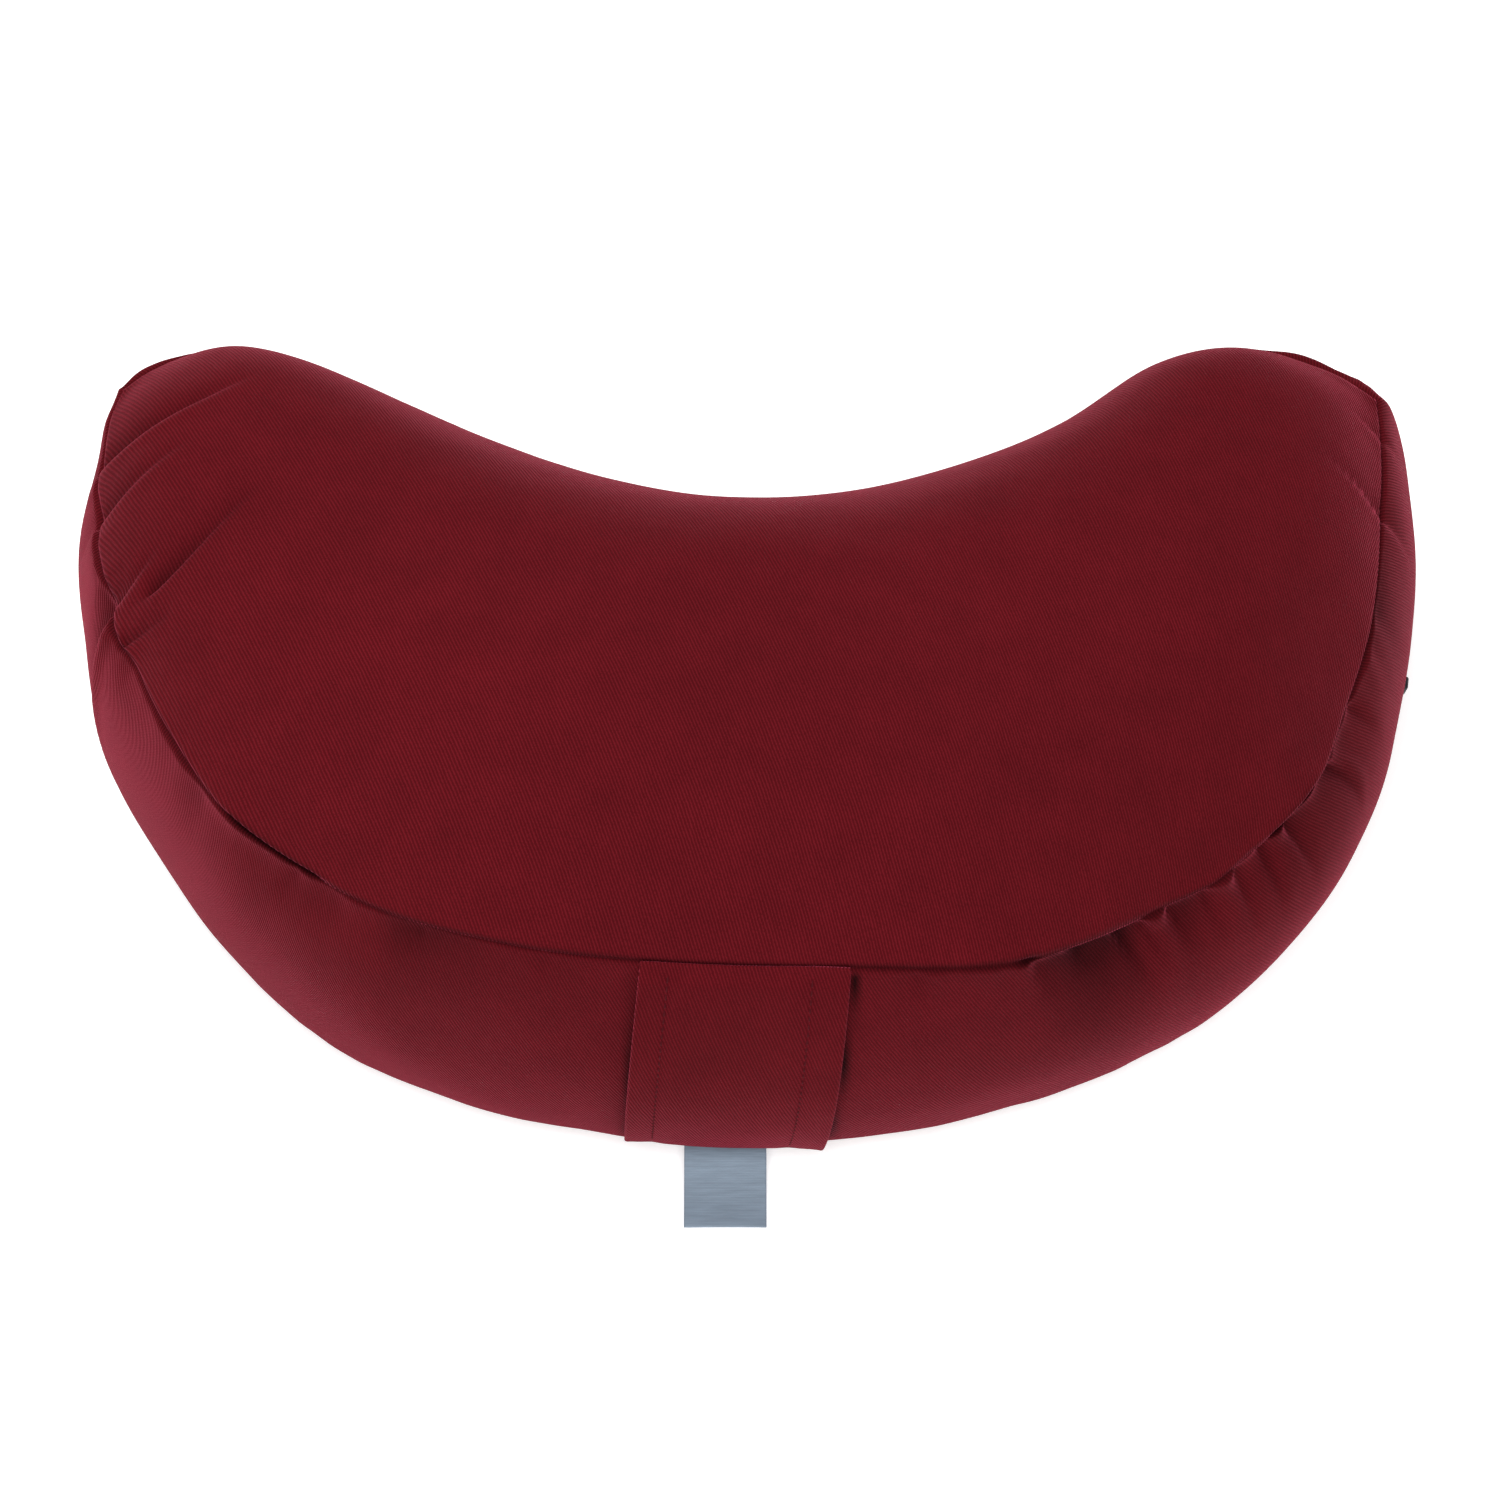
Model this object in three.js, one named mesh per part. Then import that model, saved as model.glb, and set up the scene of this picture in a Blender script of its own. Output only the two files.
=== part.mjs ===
// A crescent meditation cushion: two crescent panels and a side band sewn round a firm filling,
// a flat carrying handle across the front of the band, a woven label in the front bottom seam,
// and the slider and pull of the zip that closes the band at the right end.
// Millimetres, +Z up. The cushion stands on z = 0, with its convex front towards -Y.
import * as THREE from "three";
import { mergeVertices } from "three/addons/utils/BufferGeometryUtils.js";

// The top seam, station by station: its place in plan (x, y) and its height (z), how far the band
// bulges past the straight line between its two seams (belly), and how far the bottom seam lies
// outside the top seam (foot).
const FRONT_SEAM = [
  { x: -207.5, y: 108.5, z: 98.5, belly: 4, foot: 6 },
  { x: -212, y: 72, z: 98, belly: 8, foot: 8 },
  { x: -209, y: 38, z: 100, belly: 8, foot: 7 },
  { x: -200, y: 6, z: 101, belly: 9.8, foot: 7 },
  { x: -182, y: -31, z: 103, belly: 8, foot: 6 },
  { x: -155, y: -67, z: 105, belly: 7, foot: 5.5 },
  { x: -118, y: -95, z: 108, belly: 8.6, foot: 7 },
  { x: -72, y: -111, z: 112, belly: 9, foot: 8.2 },
  { x: -25, y: -118, z: 114, belly: 9, foot: 9.6 },
  { x: 25, y: -119.5, z: 114, belly: 9, foot: 8 },
  { x: 70, y: -116.5, z: 110, belly: 9, foot: 3.5 },
  { x: 110, y: -102, z: 102, belly: 9, foot: 4 },
  { x: 146, y: -81, z: 98, belly: 9, foot: 4 },
  { x: 173, y: -55, z: 98, belly: 10.8, foot: 2.5 },
  { x: 191, y: -16, z: 99, belly: 11.5, foot: 8 },
  { x: 203, y: 24, z: 100, belly: 10.5, foot: 9.5 },
  { x: 209, y: 65, z: 100, belly: 10, foot: 11 },
  { x: 210, y: 104, z: 99, belly: 11, foot: 9 },
];
const RIGHT_SEAM = [
  { x: 210, y: 104, z: 99, belly: 11, foot: 9 },
  { x: 198, y: 113.5, z: 99, belly: 8, foot: 8 },
  { x: 184, y: 120.5, z: 98, belly: 6, foot: 6 },
  { x: 168, y: 126.5, z: 97, belly: 5, foot: 5 },
];
const BACK_SEAM = [
  { x: -170, y: 126.5, z: 99.5, belly: 5, foot: 5 },
  { x: -141, y: 118, z: 96, belly: 5, foot: 5 },
  { x: -110, y: 103, z: 95, belly: 6, foot: 5 },
  { x: -78, y: 87, z: 95, belly: 6, foot: 4 },
  { x: -42, y: 73, z: 95, belly: 6, foot: 3 },
  { x: -4, y: 66, z: 95, belly: 6, foot: 3 },
  { x: 34, y: 69, z: 95, belly: 6, foot: 3 },
  { x: 70, y: 80, z: 95, belly: 6, foot: 4 },
  { x: 103, y: 96, z: 95, belly: 6, foot: 5 },
  { x: 136, y: 120, z: 96, belly: 5, foot: 5 },
  { x: 168, y: 126.5, z: 97, belly: 5, foot: 5 },
];
const LEFT_SEAM = [
  { x: -207.5, y: 108.5, z: 98.5, belly: 4, foot: 6 },
  { x: -198, y: 116, z: 98.5, belly: 6, foot: 6 },
  { x: -184, y: 122.5, z: 99, belly: 6, foot: 6 },
  { x: -170, y: 126.5, z: 99.5, belly: 5, foot: 5 },
];

// The main folds where the cloth is slack: each runs in from the seam (x0, y0) to (x1, y1) and is
// a soft trough of this depth and half width, deepest near the seam. Where it also runs down the
// band, band is its depth there.
const FOLDS = [
  { x0: -213, y0: 76, x1: -160, y1: 93, depth: 6, half: 5, band: 0 },
  { x0: -213, y0: 53, x1: -175, y1: 66, depth: 3.5, half: 4, band: 0 },
  { x0: -206, y0: 16, x1: -154, y1: 43, depth: 5, half: 5, band: 4 },
  { x0: -200, y0: 5, x1: -181, y1: 5, depth: 2, half: 3, band: 0 },
  { x0: 212, y0: 54, x1: 186, y1: 63, depth: 2.5, half: 4.5, band: 0 },
  { x0: 204, y0: 112, x1: 170, y1: 122, depth: 3, half: 3, band: 0 },
];
const FOLD_START = 0.15; // share of a fold's length, outside (x0, y0), over which it sets in
const FOLD_DOWN_THE_BAND = 0.8; // share of the band's height that a fold runs down
const FOLD_AT_THE_SEAM = 9; // how quickly a fold's dip in the top seam dies away down the band

// The crown: how far the top panel rises above its seams, at mid length and towards the lobes,
// and how sharply it falls to the front seam, the back seam and the two ends.
const CROWN = { middle: 44, lobe: 26.5, front: 2.1, back: 3.2, end: 9 };

const FOOT_HEIGHT = 12; // height of the bottom seam above the floor
const FOOT_ROLL = 20; // how far in from the bottom seam the underside meets the floor

// The handle: a doubled strap sewn into both seams, a little slack between them. Its lower corners
// are lifted by these shares of the band's height.
const HANDLE = {
  topLeft: -32, topRight: 31.5, footLeft: -37.4, footRight: 24.5,
  thick: 2, seated: 0.4, slack: 3.4, liftLeft: 0.085, liftRight: 0.03,
};

// The label: sewn into the bottom seam, lying out over the floor.
const LABEL = {
  left: -20, right: 6.4, thick: 1,
  profile: [[-125.2, 8.6], [-131, 7.2], [-136, 4.6], [-142, 2.6], [-147, 1.8], [-152.2, 1.6]],
};

// The zip's slider and the pull that hangs from it, on the band at the right, facing out: station
// is the share of the front's length, and down is the share of the band's height to the slider.
const ZIP = {
  station: 0.9025, down: 0.8, gap: 0.3,
  slider: { wide: 5, high: 5.5, thick: 3, corner: 2.2, edge: 0.5 },
  pull: { wide: 4.2, high: 9, thick: 1.3, corner: 1.9, edge: 0.35, eye: 1 },
};
const ARC_STEPS = 5; // steps in a rounded corner
const EDGE_STEPS = 2; // steps in a rounded edge

const COLUMNS = 76; // steps along the panels
const ROWS = 22; // steps across the panels
const CROWDING = 0.45; // how much closer the columns stand towards the lobes
const BAND_ROWS = 8;
const ROLL_ROWS = 2;
const HANDLE_GRID = { across: 12, down: 20 };
const LABEL_COLUMNS = 4;
const NORMAL_PASSES = 10; // rounds of smoothing of the directions outwards along the seam
const MERGE = 1e-3; // points closer than this are one point
const SEAM_STEP = 0.004; // share of the front's length used to find its direction
const HALVINGS = 30;

const twill = new THREE.MeshStandardMaterial({ color: 0x6a1620, roughness: 0.92, metalness: 0 });
const strapTwill = new THREE.MeshStandardMaterial({ color: 0x641520, roughness: 0.92, metalness: 0 });
const labelWeave = new THREE.MeshStandardMaterial({ color: 0x7f8d9c, roughness: 0.8, metalness: 0 });
const zipMetal = new THREE.MeshStandardMaterial({ color: 0x2c2c30, roughness: 0.45, metalness: 0.6 });

const smooth = (t) => t * t * (3 - 2 * t);
const clamp01 = (t) => Math.min(1, Math.max(0, t));

// A smooth curve through the rows of a table, t from 0 to 1, for every column at once.
function along(rows, t) {
  const last = rows.length - 1;
  const place = clamp01(t) * last;
  const i = Math.min(Math.floor(place), last - 1);
  const f = place - i;
  const point = {};
  for (const key of Object.keys(rows[0])) {
    const b = rows[i][key];
    const c = rows[i + 1][key];
    const a = i > 0 ? rows[i - 1][key] : 2 * b - c;
    const d = i + 2 <= last ? rows[i + 2][key] : 2 * c - b;
    const square = 2 * a - 5 * b + 4 * c - d;
    const cube = 3 * b - a - 3 * c + d;
    point[key] = 0.5 * (2 * b + (c - a) * f + square * f * f + cube * f * f * f);
  }
  return point;
}

// How deep the folds are at a place in plan, in the panel (depth) or in the band (band).
function foldDepth(x, y, key = "depth") {
  let depth = 0;
  for (const fold of FOLDS) {
    const dx = fold.x1 - fold.x0;
    const dy = fold.y1 - fold.y0;
    const t = ((x - fold.x0) * dx + (y - fold.y0) * dy) / (dx * dx + dy * dy);
    const away = Math.abs((x - fold.x0) * dy - (y - fold.y0) * dx) / Math.hypot(dx, dy);
    const start = smooth(clamp01((t + FOLD_START) / FOLD_START));
    const fade = start * smooth(clamp01(1 - t));
    depth += fold[key] * fade * Math.exp(-((away / fold.half) ** 2));
  }
  return depth;
}

// The panel between its four seams: u runs from the left end to the right, v from front to back.
function panel(u, v) {
  const front = along(FRONT_SEAM, u);
  const back = along(BACK_SEAM, u);
  const left = along(LEFT_SEAM, v);
  const right = along(RIGHT_SEAM, v);
  const blend = (key) =>
    (1 - v) * front[key] + v * back[key] + (1 - u) * left[key] + u * right[key] -
    (1 - u) * ((1 - v) * FRONT_SEAM[0][key] + v * BACK_SEAM[0][key]) -
    u * ((1 - v) * FRONT_SEAM.at(-1)[key] + v * BACK_SEAM.at(-1)[key]);
  return { x: blend("x"), y: blend("y"), z: blend("z") };
}

function topPoint(u, v) {
  const p = panel(u, v);
  const a = Math.abs(2 * u - 1);
  const b = Math.abs(2 * v - 1);
  const across = 1 - b ** (v < 0.5 ? CROWN.front : CROWN.back);
  const rise = (CROWN.middle + (CROWN.lobe - CROWN.middle) * a * a) * (1 - a ** CROWN.end) * across;
  return [p.x, p.y, p.z + rise - foldDepth(p.x, p.y)];
}

// Even steps from 0 to 1 that crowd towards both ends.
function crowded(steps) {
  return Array.from({ length: steps + 1 }, (_, i) => {
    const s = i / steps;
    return s - (CROWDING * Math.sin(2 * Math.PI * s)) / (2 * Math.PI);
  });
}

// The whole seam as one loop, anticlockwise from above, with the direction outwards at each place.
function seamLoop(us, vs) {
  const loop = [
    ...us.slice(0, -1).map((u) => along(FRONT_SEAM, u)),
    ...vs.slice(0, -1).map((v) => along(RIGHT_SEAM, v)),
    ...us.slice(1).reverse().map((u) => along(BACK_SEAM, u)),
    ...vs.slice(1).reverse().map((v) => along(LEFT_SEAM, v)),
  ];
  const count = loop.length;
  let out = loop.map((_, k) => {
    const next = loop[(k + 1) % count];
    const before = loop[(k + count - 1) % count];
    return new THREE.Vector2(next.y - before.y, before.x - next.x).normalize();
  });
  for (let pass = 0; pass < NORMAL_PASSES; pass++) {
    out = out.map((n, k) =>
      n.clone().multiplyScalar(2).add(out[(k + 1) % count]).add(out[(k + count - 1) % count]).normalize());
  }
  return loop.map((row, k) => ({ ...row, out: out[k] }));
}

// A place on the band: w runs from the top seam (0) to the bottom seam (1), off is the distance
// in front of the band's face.
function bandPoint(row, w, off = 0) {
  const fold = foldDepth(row.x, row.y);
  const down = Math.sin(Math.PI * Math.min(1, w / FOLD_DOWN_THE_BAND));
  const trough = foldDepth(row.x, row.y, "band") * down;
  const bulge = row.belly * 4 * w * (1 - w) + row.foot * w - trough + off;
  const z = row.z + (FOOT_HEIGHT - row.z) * w - fold * (1 - w) ** FOLD_AT_THE_SEAM;
  return [row.x + row.out.x * bulge, row.y + row.out.y * bulge, z];
}

// A closed mesh from its points and triangles.
function solid(points, triangles) {
  const geometry = new THREE.BufferGeometry();
  geometry.setAttribute("position", new THREE.Float32BufferAttribute(points.flat(), 3));
  geometry.setIndex(triangles.flat());
  const merged = mergeVertices(geometry, MERGE);
  merged.computeVertexNormals();
  return merged;
}

function cushion() {
  const us = crowded(COLUMNS);
  const vs = Array.from({ length: ROWS + 1 }, (_, j) => j / ROWS);
  const points = [];
  const triangles = [];
  const quad = (a, b, c, d) => triangles.push([a, b, c], [a, c, d]);

  us.forEach((u) => vs.forEach((v) => points.push(topPoint(u, v))));
  const at = (i, j) => i * (ROWS + 1) + j;
  for (let i = 0; i < COLUMNS; i++) {
    for (let j = 0; j < ROWS; j++) quad(at(i, j), at(i + 1, j), at(i + 1, j + 1), at(i, j + 1));
  }

  const loop = seamLoop(us, vs);
  const rings = [];
  for (let r = 0; r <= BAND_ROWS; r++) rings.push(loop.map((row) => bandPoint(row, r / BAND_ROWS)));
  const foot = rings.at(-1);
  for (let r = 1; r <= ROLL_ROWS; r++) {
    const w = r / ROLL_ROWS;
    rings.push(foot.map(([x, y, z], k) => [
      x - loop[k].out.x * FOOT_ROLL * w, y - loop[k].out.y * FOOT_ROLL * w, z * (1 - w) ** 2,
    ]));
  }
  const first = points.length;
  rings.forEach((ring) => points.push(...ring));
  const count = loop.length;
  for (let r = 0; r < rings.length - 1; r++) {
    for (let k = 0; k < count; k++) {
      const upper = first + r * count;
      const lower = upper + count;
      const next = (k + 1) % count;
      quad(lower + k, lower + next, upper + next, upper + k);
    }
  }

  const rest = rings.at(-1).map(([x, y]) => new THREE.Vector2(x, y));
  const start = points.length - count;
  for (const [a, b, c] of THREE.ShapeUtils.triangulateShape(rest, [])) {
    triangles.push([start + a, start + c, start + b]);
  }
  return solid(points, triangles);
}

// A sheet of cloth: a grid of places on its underside, and the same grid a thickness further out.
function sheet(under, over) {
  const rows = under.length;
  const columns = under[0].length;
  const points = [...under.flat(), ...over.flat()];
  const triangles = [];
  const quad = (a, b, c, d) => triangles.push([a, b, c], [a, c, d]);
  const low = (i, j) => i * columns + j;
  const high = (i, j) => rows * columns + low(i, j);
  for (let i = 0; i < rows - 1; i++) {
    for (let j = 0; j < columns - 1; j++) {
      quad(high(i, j), high(i, j + 1), high(i + 1, j + 1), high(i + 1, j));
      quad(low(i, j), low(i + 1, j), low(i + 1, j + 1), low(i, j + 1));
    }
    quad(low(i, 0), high(i, 0), high(i + 1, 0), low(i + 1, 0));
    quad(low(i, columns - 1), low(i + 1, columns - 1), high(i + 1, columns - 1), high(i, columns - 1));
  }
  for (let j = 0; j < columns - 1; j++) {
    quad(low(0, j), low(0, j + 1), high(0, j + 1), high(0, j));
    quad(low(rows - 1, j), high(rows - 1, j), high(rows - 1, j + 1), low(rows - 1, j + 1));
  }
  return solid(points, triangles);
}

// The seam at a share of the front's length, with the direction outwards.
function frontRow(t) {
  const row = along(FRONT_SEAM, t);
  const after = along(FRONT_SEAM, t + SEAM_STEP);
  const before = along(FRONT_SEAM, t - SEAM_STEP);
  return { ...row, out: new THREE.Vector2(after.y - before.y, before.x - after.x).normalize() };
}

// The share of the front's length at which the seam has this x, by halving the part of the
// front along which x only grows.
function frontShare(x) {
  let low = 1 / 4;
  let high = 3 / 4;
  for (let step = 0; step < HALVINGS; step++) {
    const middle = (low + high) / 2;
    if (along(FRONT_SEAM, middle).x < x) low = middle;
    else high = middle;
  }
  return low;
}

function handle() {
  const { across, down } = HANDLE_GRID;
  const layer = (off) => Array.from({ length: down + 1 }, (_, i) => {
    const w = i / down;
    const left = HANDLE.topLeft + (HANDLE.footLeft - HANDLE.topLeft) * w;
    const right = HANDLE.topRight + (HANDLE.footRight - HANDLE.topRight) * w;
    return Array.from({ length: across + 1 }, (_, j) => {
      const share = j / across;
      const row = frontRow(frontShare(left + (right - left) * share));
      const lift = HANDLE.liftLeft + (HANDLE.liftRight - HANDLE.liftLeft) * share;
      return bandPoint(row, w * (1 - lift), HANDLE.seated + HANDLE.slack * Math.sin(Math.PI * w) + off);
    });
  });
  return sheet(layer(0).reverse(), layer(HANDLE.thick).reverse());
}

function label() {
  const places = Array.from({ length: LABEL_COLUMNS + 1 }, (_, j) => j / LABEL_COLUMNS);
  const layer = (lift) => LABEL.profile.map(([y, z]) =>
    places.map((t) => [LABEL.left + (LABEL.right - LABEL.left) * t, y, z + lift]));
  return sheet(layer(-LABEL.thick).reverse(), layer(0).reverse());
}

// A plate with rounded corners and edges, its back on z = 0.
function plate({ wide, high, thick, corner, edge }, holes = []) {
  const x = wide / 2 - edge;
  const y = high / 2 - edge;
  const round = corner - edge;
  const shape = new THREE.Shape();
  shape.moveTo(-x + round, -y);
  shape.lineTo(x - round, -y);
  shape.absarc(x - round, -y + round, round, -Math.PI / 2, 0);
  shape.lineTo(x, y - round);
  shape.absarc(x - round, y - round, round, 0, Math.PI / 2);
  shape.lineTo(-x + round, y);
  shape.absarc(-x + round, y - round, round, Math.PI / 2, Math.PI);
  shape.lineTo(-x, -y + round);
  shape.absarc(-x + round, -y + round, round, Math.PI, 1.5 * Math.PI);
  shape.holes.push(...holes);
  const geometry = new THREE.ExtrudeGeometry(shape, {
    depth: thick - 2 * edge, bevelThickness: edge, bevelSize: edge, bevelSegments: EDGE_STEPS,
    curveSegments: ARC_STEPS,
  });
  return geometry.translate(0, 0, edge);
}

// The pull: a tab with an eye at its upper end.
function pull() {
  const { high, corner, edge, eye } = ZIP.pull;
  const hole = new THREE.Path();
  hole.absarc(0, high / 2 - corner, eye + edge, 0, 2 * Math.PI, true);
  return plate(ZIP.pull, [hole]);
}

// A small piece that lies on the band, this share of its height down: its X runs along the band,
// its Y up the band and its Z out of it.
function onTheBand(down, piece) {
  const step = 0.05;
  const row = frontRow(ZIP.station);
  const here = new THREE.Vector3(...bandPoint(row, down));
  const above = new THREE.Vector3(...bandPoint(row, down - step));
  const below = new THREE.Vector3(...bandPoint(row, down + step));
  const back = new THREE.Vector3(-row.out.y, row.out.x, 0);
  const up = above.sub(below).normalize();
  const face = new THREE.Vector3().crossVectors(back, up).normalize();
  piece.position.copy(here).addScaledVector(face, ZIP.gap);
  piece.setRotationFromMatrix(new THREE.Matrix4().makeBasis(back, up, face));
  return piece;
}

function named(name, geometry, material) {
  const mesh = new THREE.Mesh(geometry, material);
  mesh.name = name;
  return mesh;
}

const model = new THREE.Group();
model.add(named("cushion", cushion(), twill));
model.add(named("handle", handle(), strapTwill));
model.add(named("label", label(), labelWeave));

const bandHeight = frontRow(ZIP.station).z - FOOT_HEIGHT;
const hang = (ZIP.slider.high / 2 + ZIP.gap + ZIP.pull.high / 2) / bandHeight;
model.add(onTheBand(ZIP.down, named("zip_slider", plate(ZIP.slider), zipMetal)));
model.add(onTheBand(ZIP.down + hang, named("zip_pull", pull(), zipMetal)));

export default model;
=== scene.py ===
"""A crescent meditation cushion in burgundy twill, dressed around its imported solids.

Lengths in the tables and in the mesh code are millimetres, and the panel's settings are metres, as
Blender's are. The cushion stands on z = 0, with its convex front towards -Y and +Z up.
"""

import math
from collections import namedtuple

import bpy
import numpy as np
from bpy.props import FloatProperty, FloatVectorProperty, PointerProperty
from bpy.types import Operator, Panel, PropertyGroup
from mathutils import Matrix, Vector, kdtree, noise


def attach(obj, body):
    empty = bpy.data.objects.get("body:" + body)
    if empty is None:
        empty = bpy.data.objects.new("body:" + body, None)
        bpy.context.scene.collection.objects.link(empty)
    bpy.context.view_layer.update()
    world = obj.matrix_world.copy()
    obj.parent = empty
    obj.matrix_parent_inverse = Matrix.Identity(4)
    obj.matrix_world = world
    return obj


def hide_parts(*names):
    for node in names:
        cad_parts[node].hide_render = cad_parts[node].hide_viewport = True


bl_info = {
    "name": "Crescent meditation cushion",
    "version": (1, 0, 0),
    "blender": (4, 5, 0),
    "location": "3D View > Sidebar > Cushion",
    "description": "Cover, handle, label and zip of a crescent meditation cushion",
    "category": "Object",
}

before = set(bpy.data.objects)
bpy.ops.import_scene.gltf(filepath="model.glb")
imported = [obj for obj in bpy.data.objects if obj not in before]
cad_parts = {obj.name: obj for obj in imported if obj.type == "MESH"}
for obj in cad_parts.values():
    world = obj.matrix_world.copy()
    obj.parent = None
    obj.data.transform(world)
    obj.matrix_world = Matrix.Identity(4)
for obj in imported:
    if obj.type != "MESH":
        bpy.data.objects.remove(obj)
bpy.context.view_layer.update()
MM = 0.001

# The top seam, station by station: x, y, z, how far the band bulges past the straight line between
# its two seams (belly), how far the bottom seam lies outside the top seam (foot), and how far the
# band puffs out right below the top seam (shoulder).
FRONT_SEAM = np.array([
    (-208, 109, 98.5, 3.5, 6, 1.2),
    (-212, 72, 98, 8, 8, 0.4),
    (-209, 38, 100, 8, 7, 0.3),
    (-200, 6, 101, 9.8, 7, 0),
    (-182, -31, 103, 8, 6, 0),
    (-155, -67, 105, 8, 5.5, -1.2),
    (-118, -95, 108, 8.6, 7, -0.8),
    (-72, -111, 112, 9, 8.2, 0),
    (-25, -118, 114, 9, 9.6, 0),
    (25, -119.5, 114, 9, 8, 0),
    (70, -116.5, 110, 9, 3.5, -0.8),
    (110, -102, 102, 9, 4, -1.6),
    (146, -81, 98, 9, 4, -1.8),
    (173, -55, 98, 10.8, 2.5, -1.8),
    (191, -16, 99, 11.5, 8, -0.8),
    (203, 24, 100, 10.5, 9.5, 0.5),
    (209, 65, 100, 10, 11, 0.6),
    (210, 104, 99, 11, 9, 1.2),
])
RIGHT_SEAM = np.array([
    (210, 104, 99, 11, 9, 1.2),
    (198, 113.5, 99, 8, 8, 3.2),
    (184, 120.5, 98, 6, 6, 3.6),
    (168, 126.5, 97, 5, 5, 0.5),
])
BACK_SEAM = np.array([
    (-170, 126.5, 99.5, 5, 5, 0.5),
    (-141, 118, 96, 5, 5, 0),
    (-110, 103, 95, 6, 5, 0),
    (-78, 87, 95, 6, 4, 0),
    (-42, 73, 95, 6, 3, 0),
    (-4, 66, 95, 6, 3, 0),
    (34, 69, 95, 6, 3, 0),
    (70, 80, 95, 6, 4, 0),
    (103, 96, 95, 6, 5, 0),
    (136, 120, 96, 5, 5, 0),
    (168, 126.5, 97, 5, 5, 0.5),
])
LEFT_SEAM = np.array([
    (-208, 109, 98.5, 3.5, 6, 1.2),
    (-198.4, 116.6, 98.5, 6, 6, 2.2),
    (-184.4, 123.1, 99, 6, 6, 1.4),
    (-170, 126.5, 99.5, 5, 5, 0.5),
])
# Where the shoulder is fullest, as a share of the way down, and its rise for each millimetre out.
SHOULDER_DOWN = 0.07
SHOULDER_LIFT = 0.85

# Folds in the top panel that run in from the seam: the route in plan, the depth, the share of it left
# at the seam, the widths of the gentle back slope and of the steep front wall, the height of the
# crest in front of it, and how soon the depth dies away along the route.
Fold = namedtuple("Fold", "route depth seam gentle steep crest dies")
FOLDS = [
    Fold([(-213, 76), (-189, 79), (-160, 93)], 8.5, 0.5, 7.0, 1.8, 1.2, 1.1),
    Fold([(-213, 53), (-195, 58), (-175, 66)], 5.0, 0.6, 4.6, 1.6, 0.6, 1.3),
    Fold([(-207, 19), (-198, 21.5), (-187, 29)], 5.0, 0.8, 4.0, 1.5, 0.9, 0.8),
    Fold([(-193, 14.5), (-175, 23.5), (-154, 43)], 6.5, 0.1, 5.5, 1.6, 0.3, 0.9),
    Fold([(-200, 5), (-192, 4.5), (-181, 5)], 3.4, 0.1, 3.0, 1.5, 0.4, 0.6),
    Fold([(212, 54), (203, 57), (186, 63)], 3.6, 0.7, 4.6, 1.6, 0.5, 0.9),
    Fold([(212, 86), (206, 88), (198, 91)], 1.5, 0.6, 3.4, 1.6, 0.3, 0.9),
    Fold([(204, 111), (190, 117), (170, 121)], 6.0, 0.5, 2.6, 2.0, 0.9, 0.5),
]
FOLD_START = 0.15
FOLD_SETS_IN = 0.2
FOLD_AT_THE_SEAM = 9
ROUTE_STEPS = 48
FOLD_REACH = 25
FOLD_NARROWS = 0.35
BACK_POWER = 1.15
WALL_POWER = 1.6
# A crest's middle and width, in widths of the steep wall beside it.
CREST_PLACE = 2.3
CREST_WIDTH = 1.6

# Creases that run down the band from the top seam: x and y of the start in plan, how far they move
# along the seam for each millimetre down (lean) and for its square (bend), where they have died
# away, the depth, the widths before and after them along the seam, and the height of the crest.
Crease = namedtuple("Crease", "start lean bend down depth before after crest")
CREASES = [
    Crease((-203, 18), 0.0, 0.0026, 84, 4.6, 8.0, 2.2, 2.0),
    Crease((86, -110), 0.25, 0, 22, 2.6, 1.8, 3.4, 0.8),
    Crease((99, -106), 0.3, 0, 16, 1.8, 2.6, 2.6, 0.5),
    Crease((112, -101), 0.4, 0, 38, 3.0, 1.8, 3.6, 1.0),
    Crease((120, -97), 0.35, 0, 30, 2.6, 3.0, 1.8, 0.9),
    Crease((130, -92), 0.3, 0, 26, 2.8, 1.8, 3.0, 0.8),
    Crease((141, -85), 0.2, 0, 30, 2.4, 2.6, 3.0, 0.5),
    Crease((153, -76), 0.1, 0, 34, 2.8, 2.0, 3.0, 0.8),
    Crease((162, -67), 0.05, 0, 38, 3.6, 3.2, 1.8, 1.2),
    Crease((170, -59), 0.15, 0, 36, 3.4, 1.8, 3.4, 1.2),
    Crease((183, -40), 0.75, -0.012, 40, 4.0, 4.6, 1.8, 1.4),
    Crease((191, -16), 0.3, 0, 30, 2.2, 3.2, 2.0, 0.7),
    Crease((-140, -80), -0.2, 0, 22, 1.6, 2.2, 2.6, 0.4),
    Crease((-100, -104), -0.1, 0, 18, 1.2, 2.6, 2.6, 0.3),
    Crease((-60, -114), 0.05, 0, 16, 1.2, 2.4, 3.0, 0.3),
    Crease((52, -119), 0.1, 0, 16, 1.4, 2.6, 2.2, 0.4),
]
CREASE_AT_SEAM = 0.4
CREASE_SETS_IN = 5
CREASE_POWER = 1.3

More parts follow.
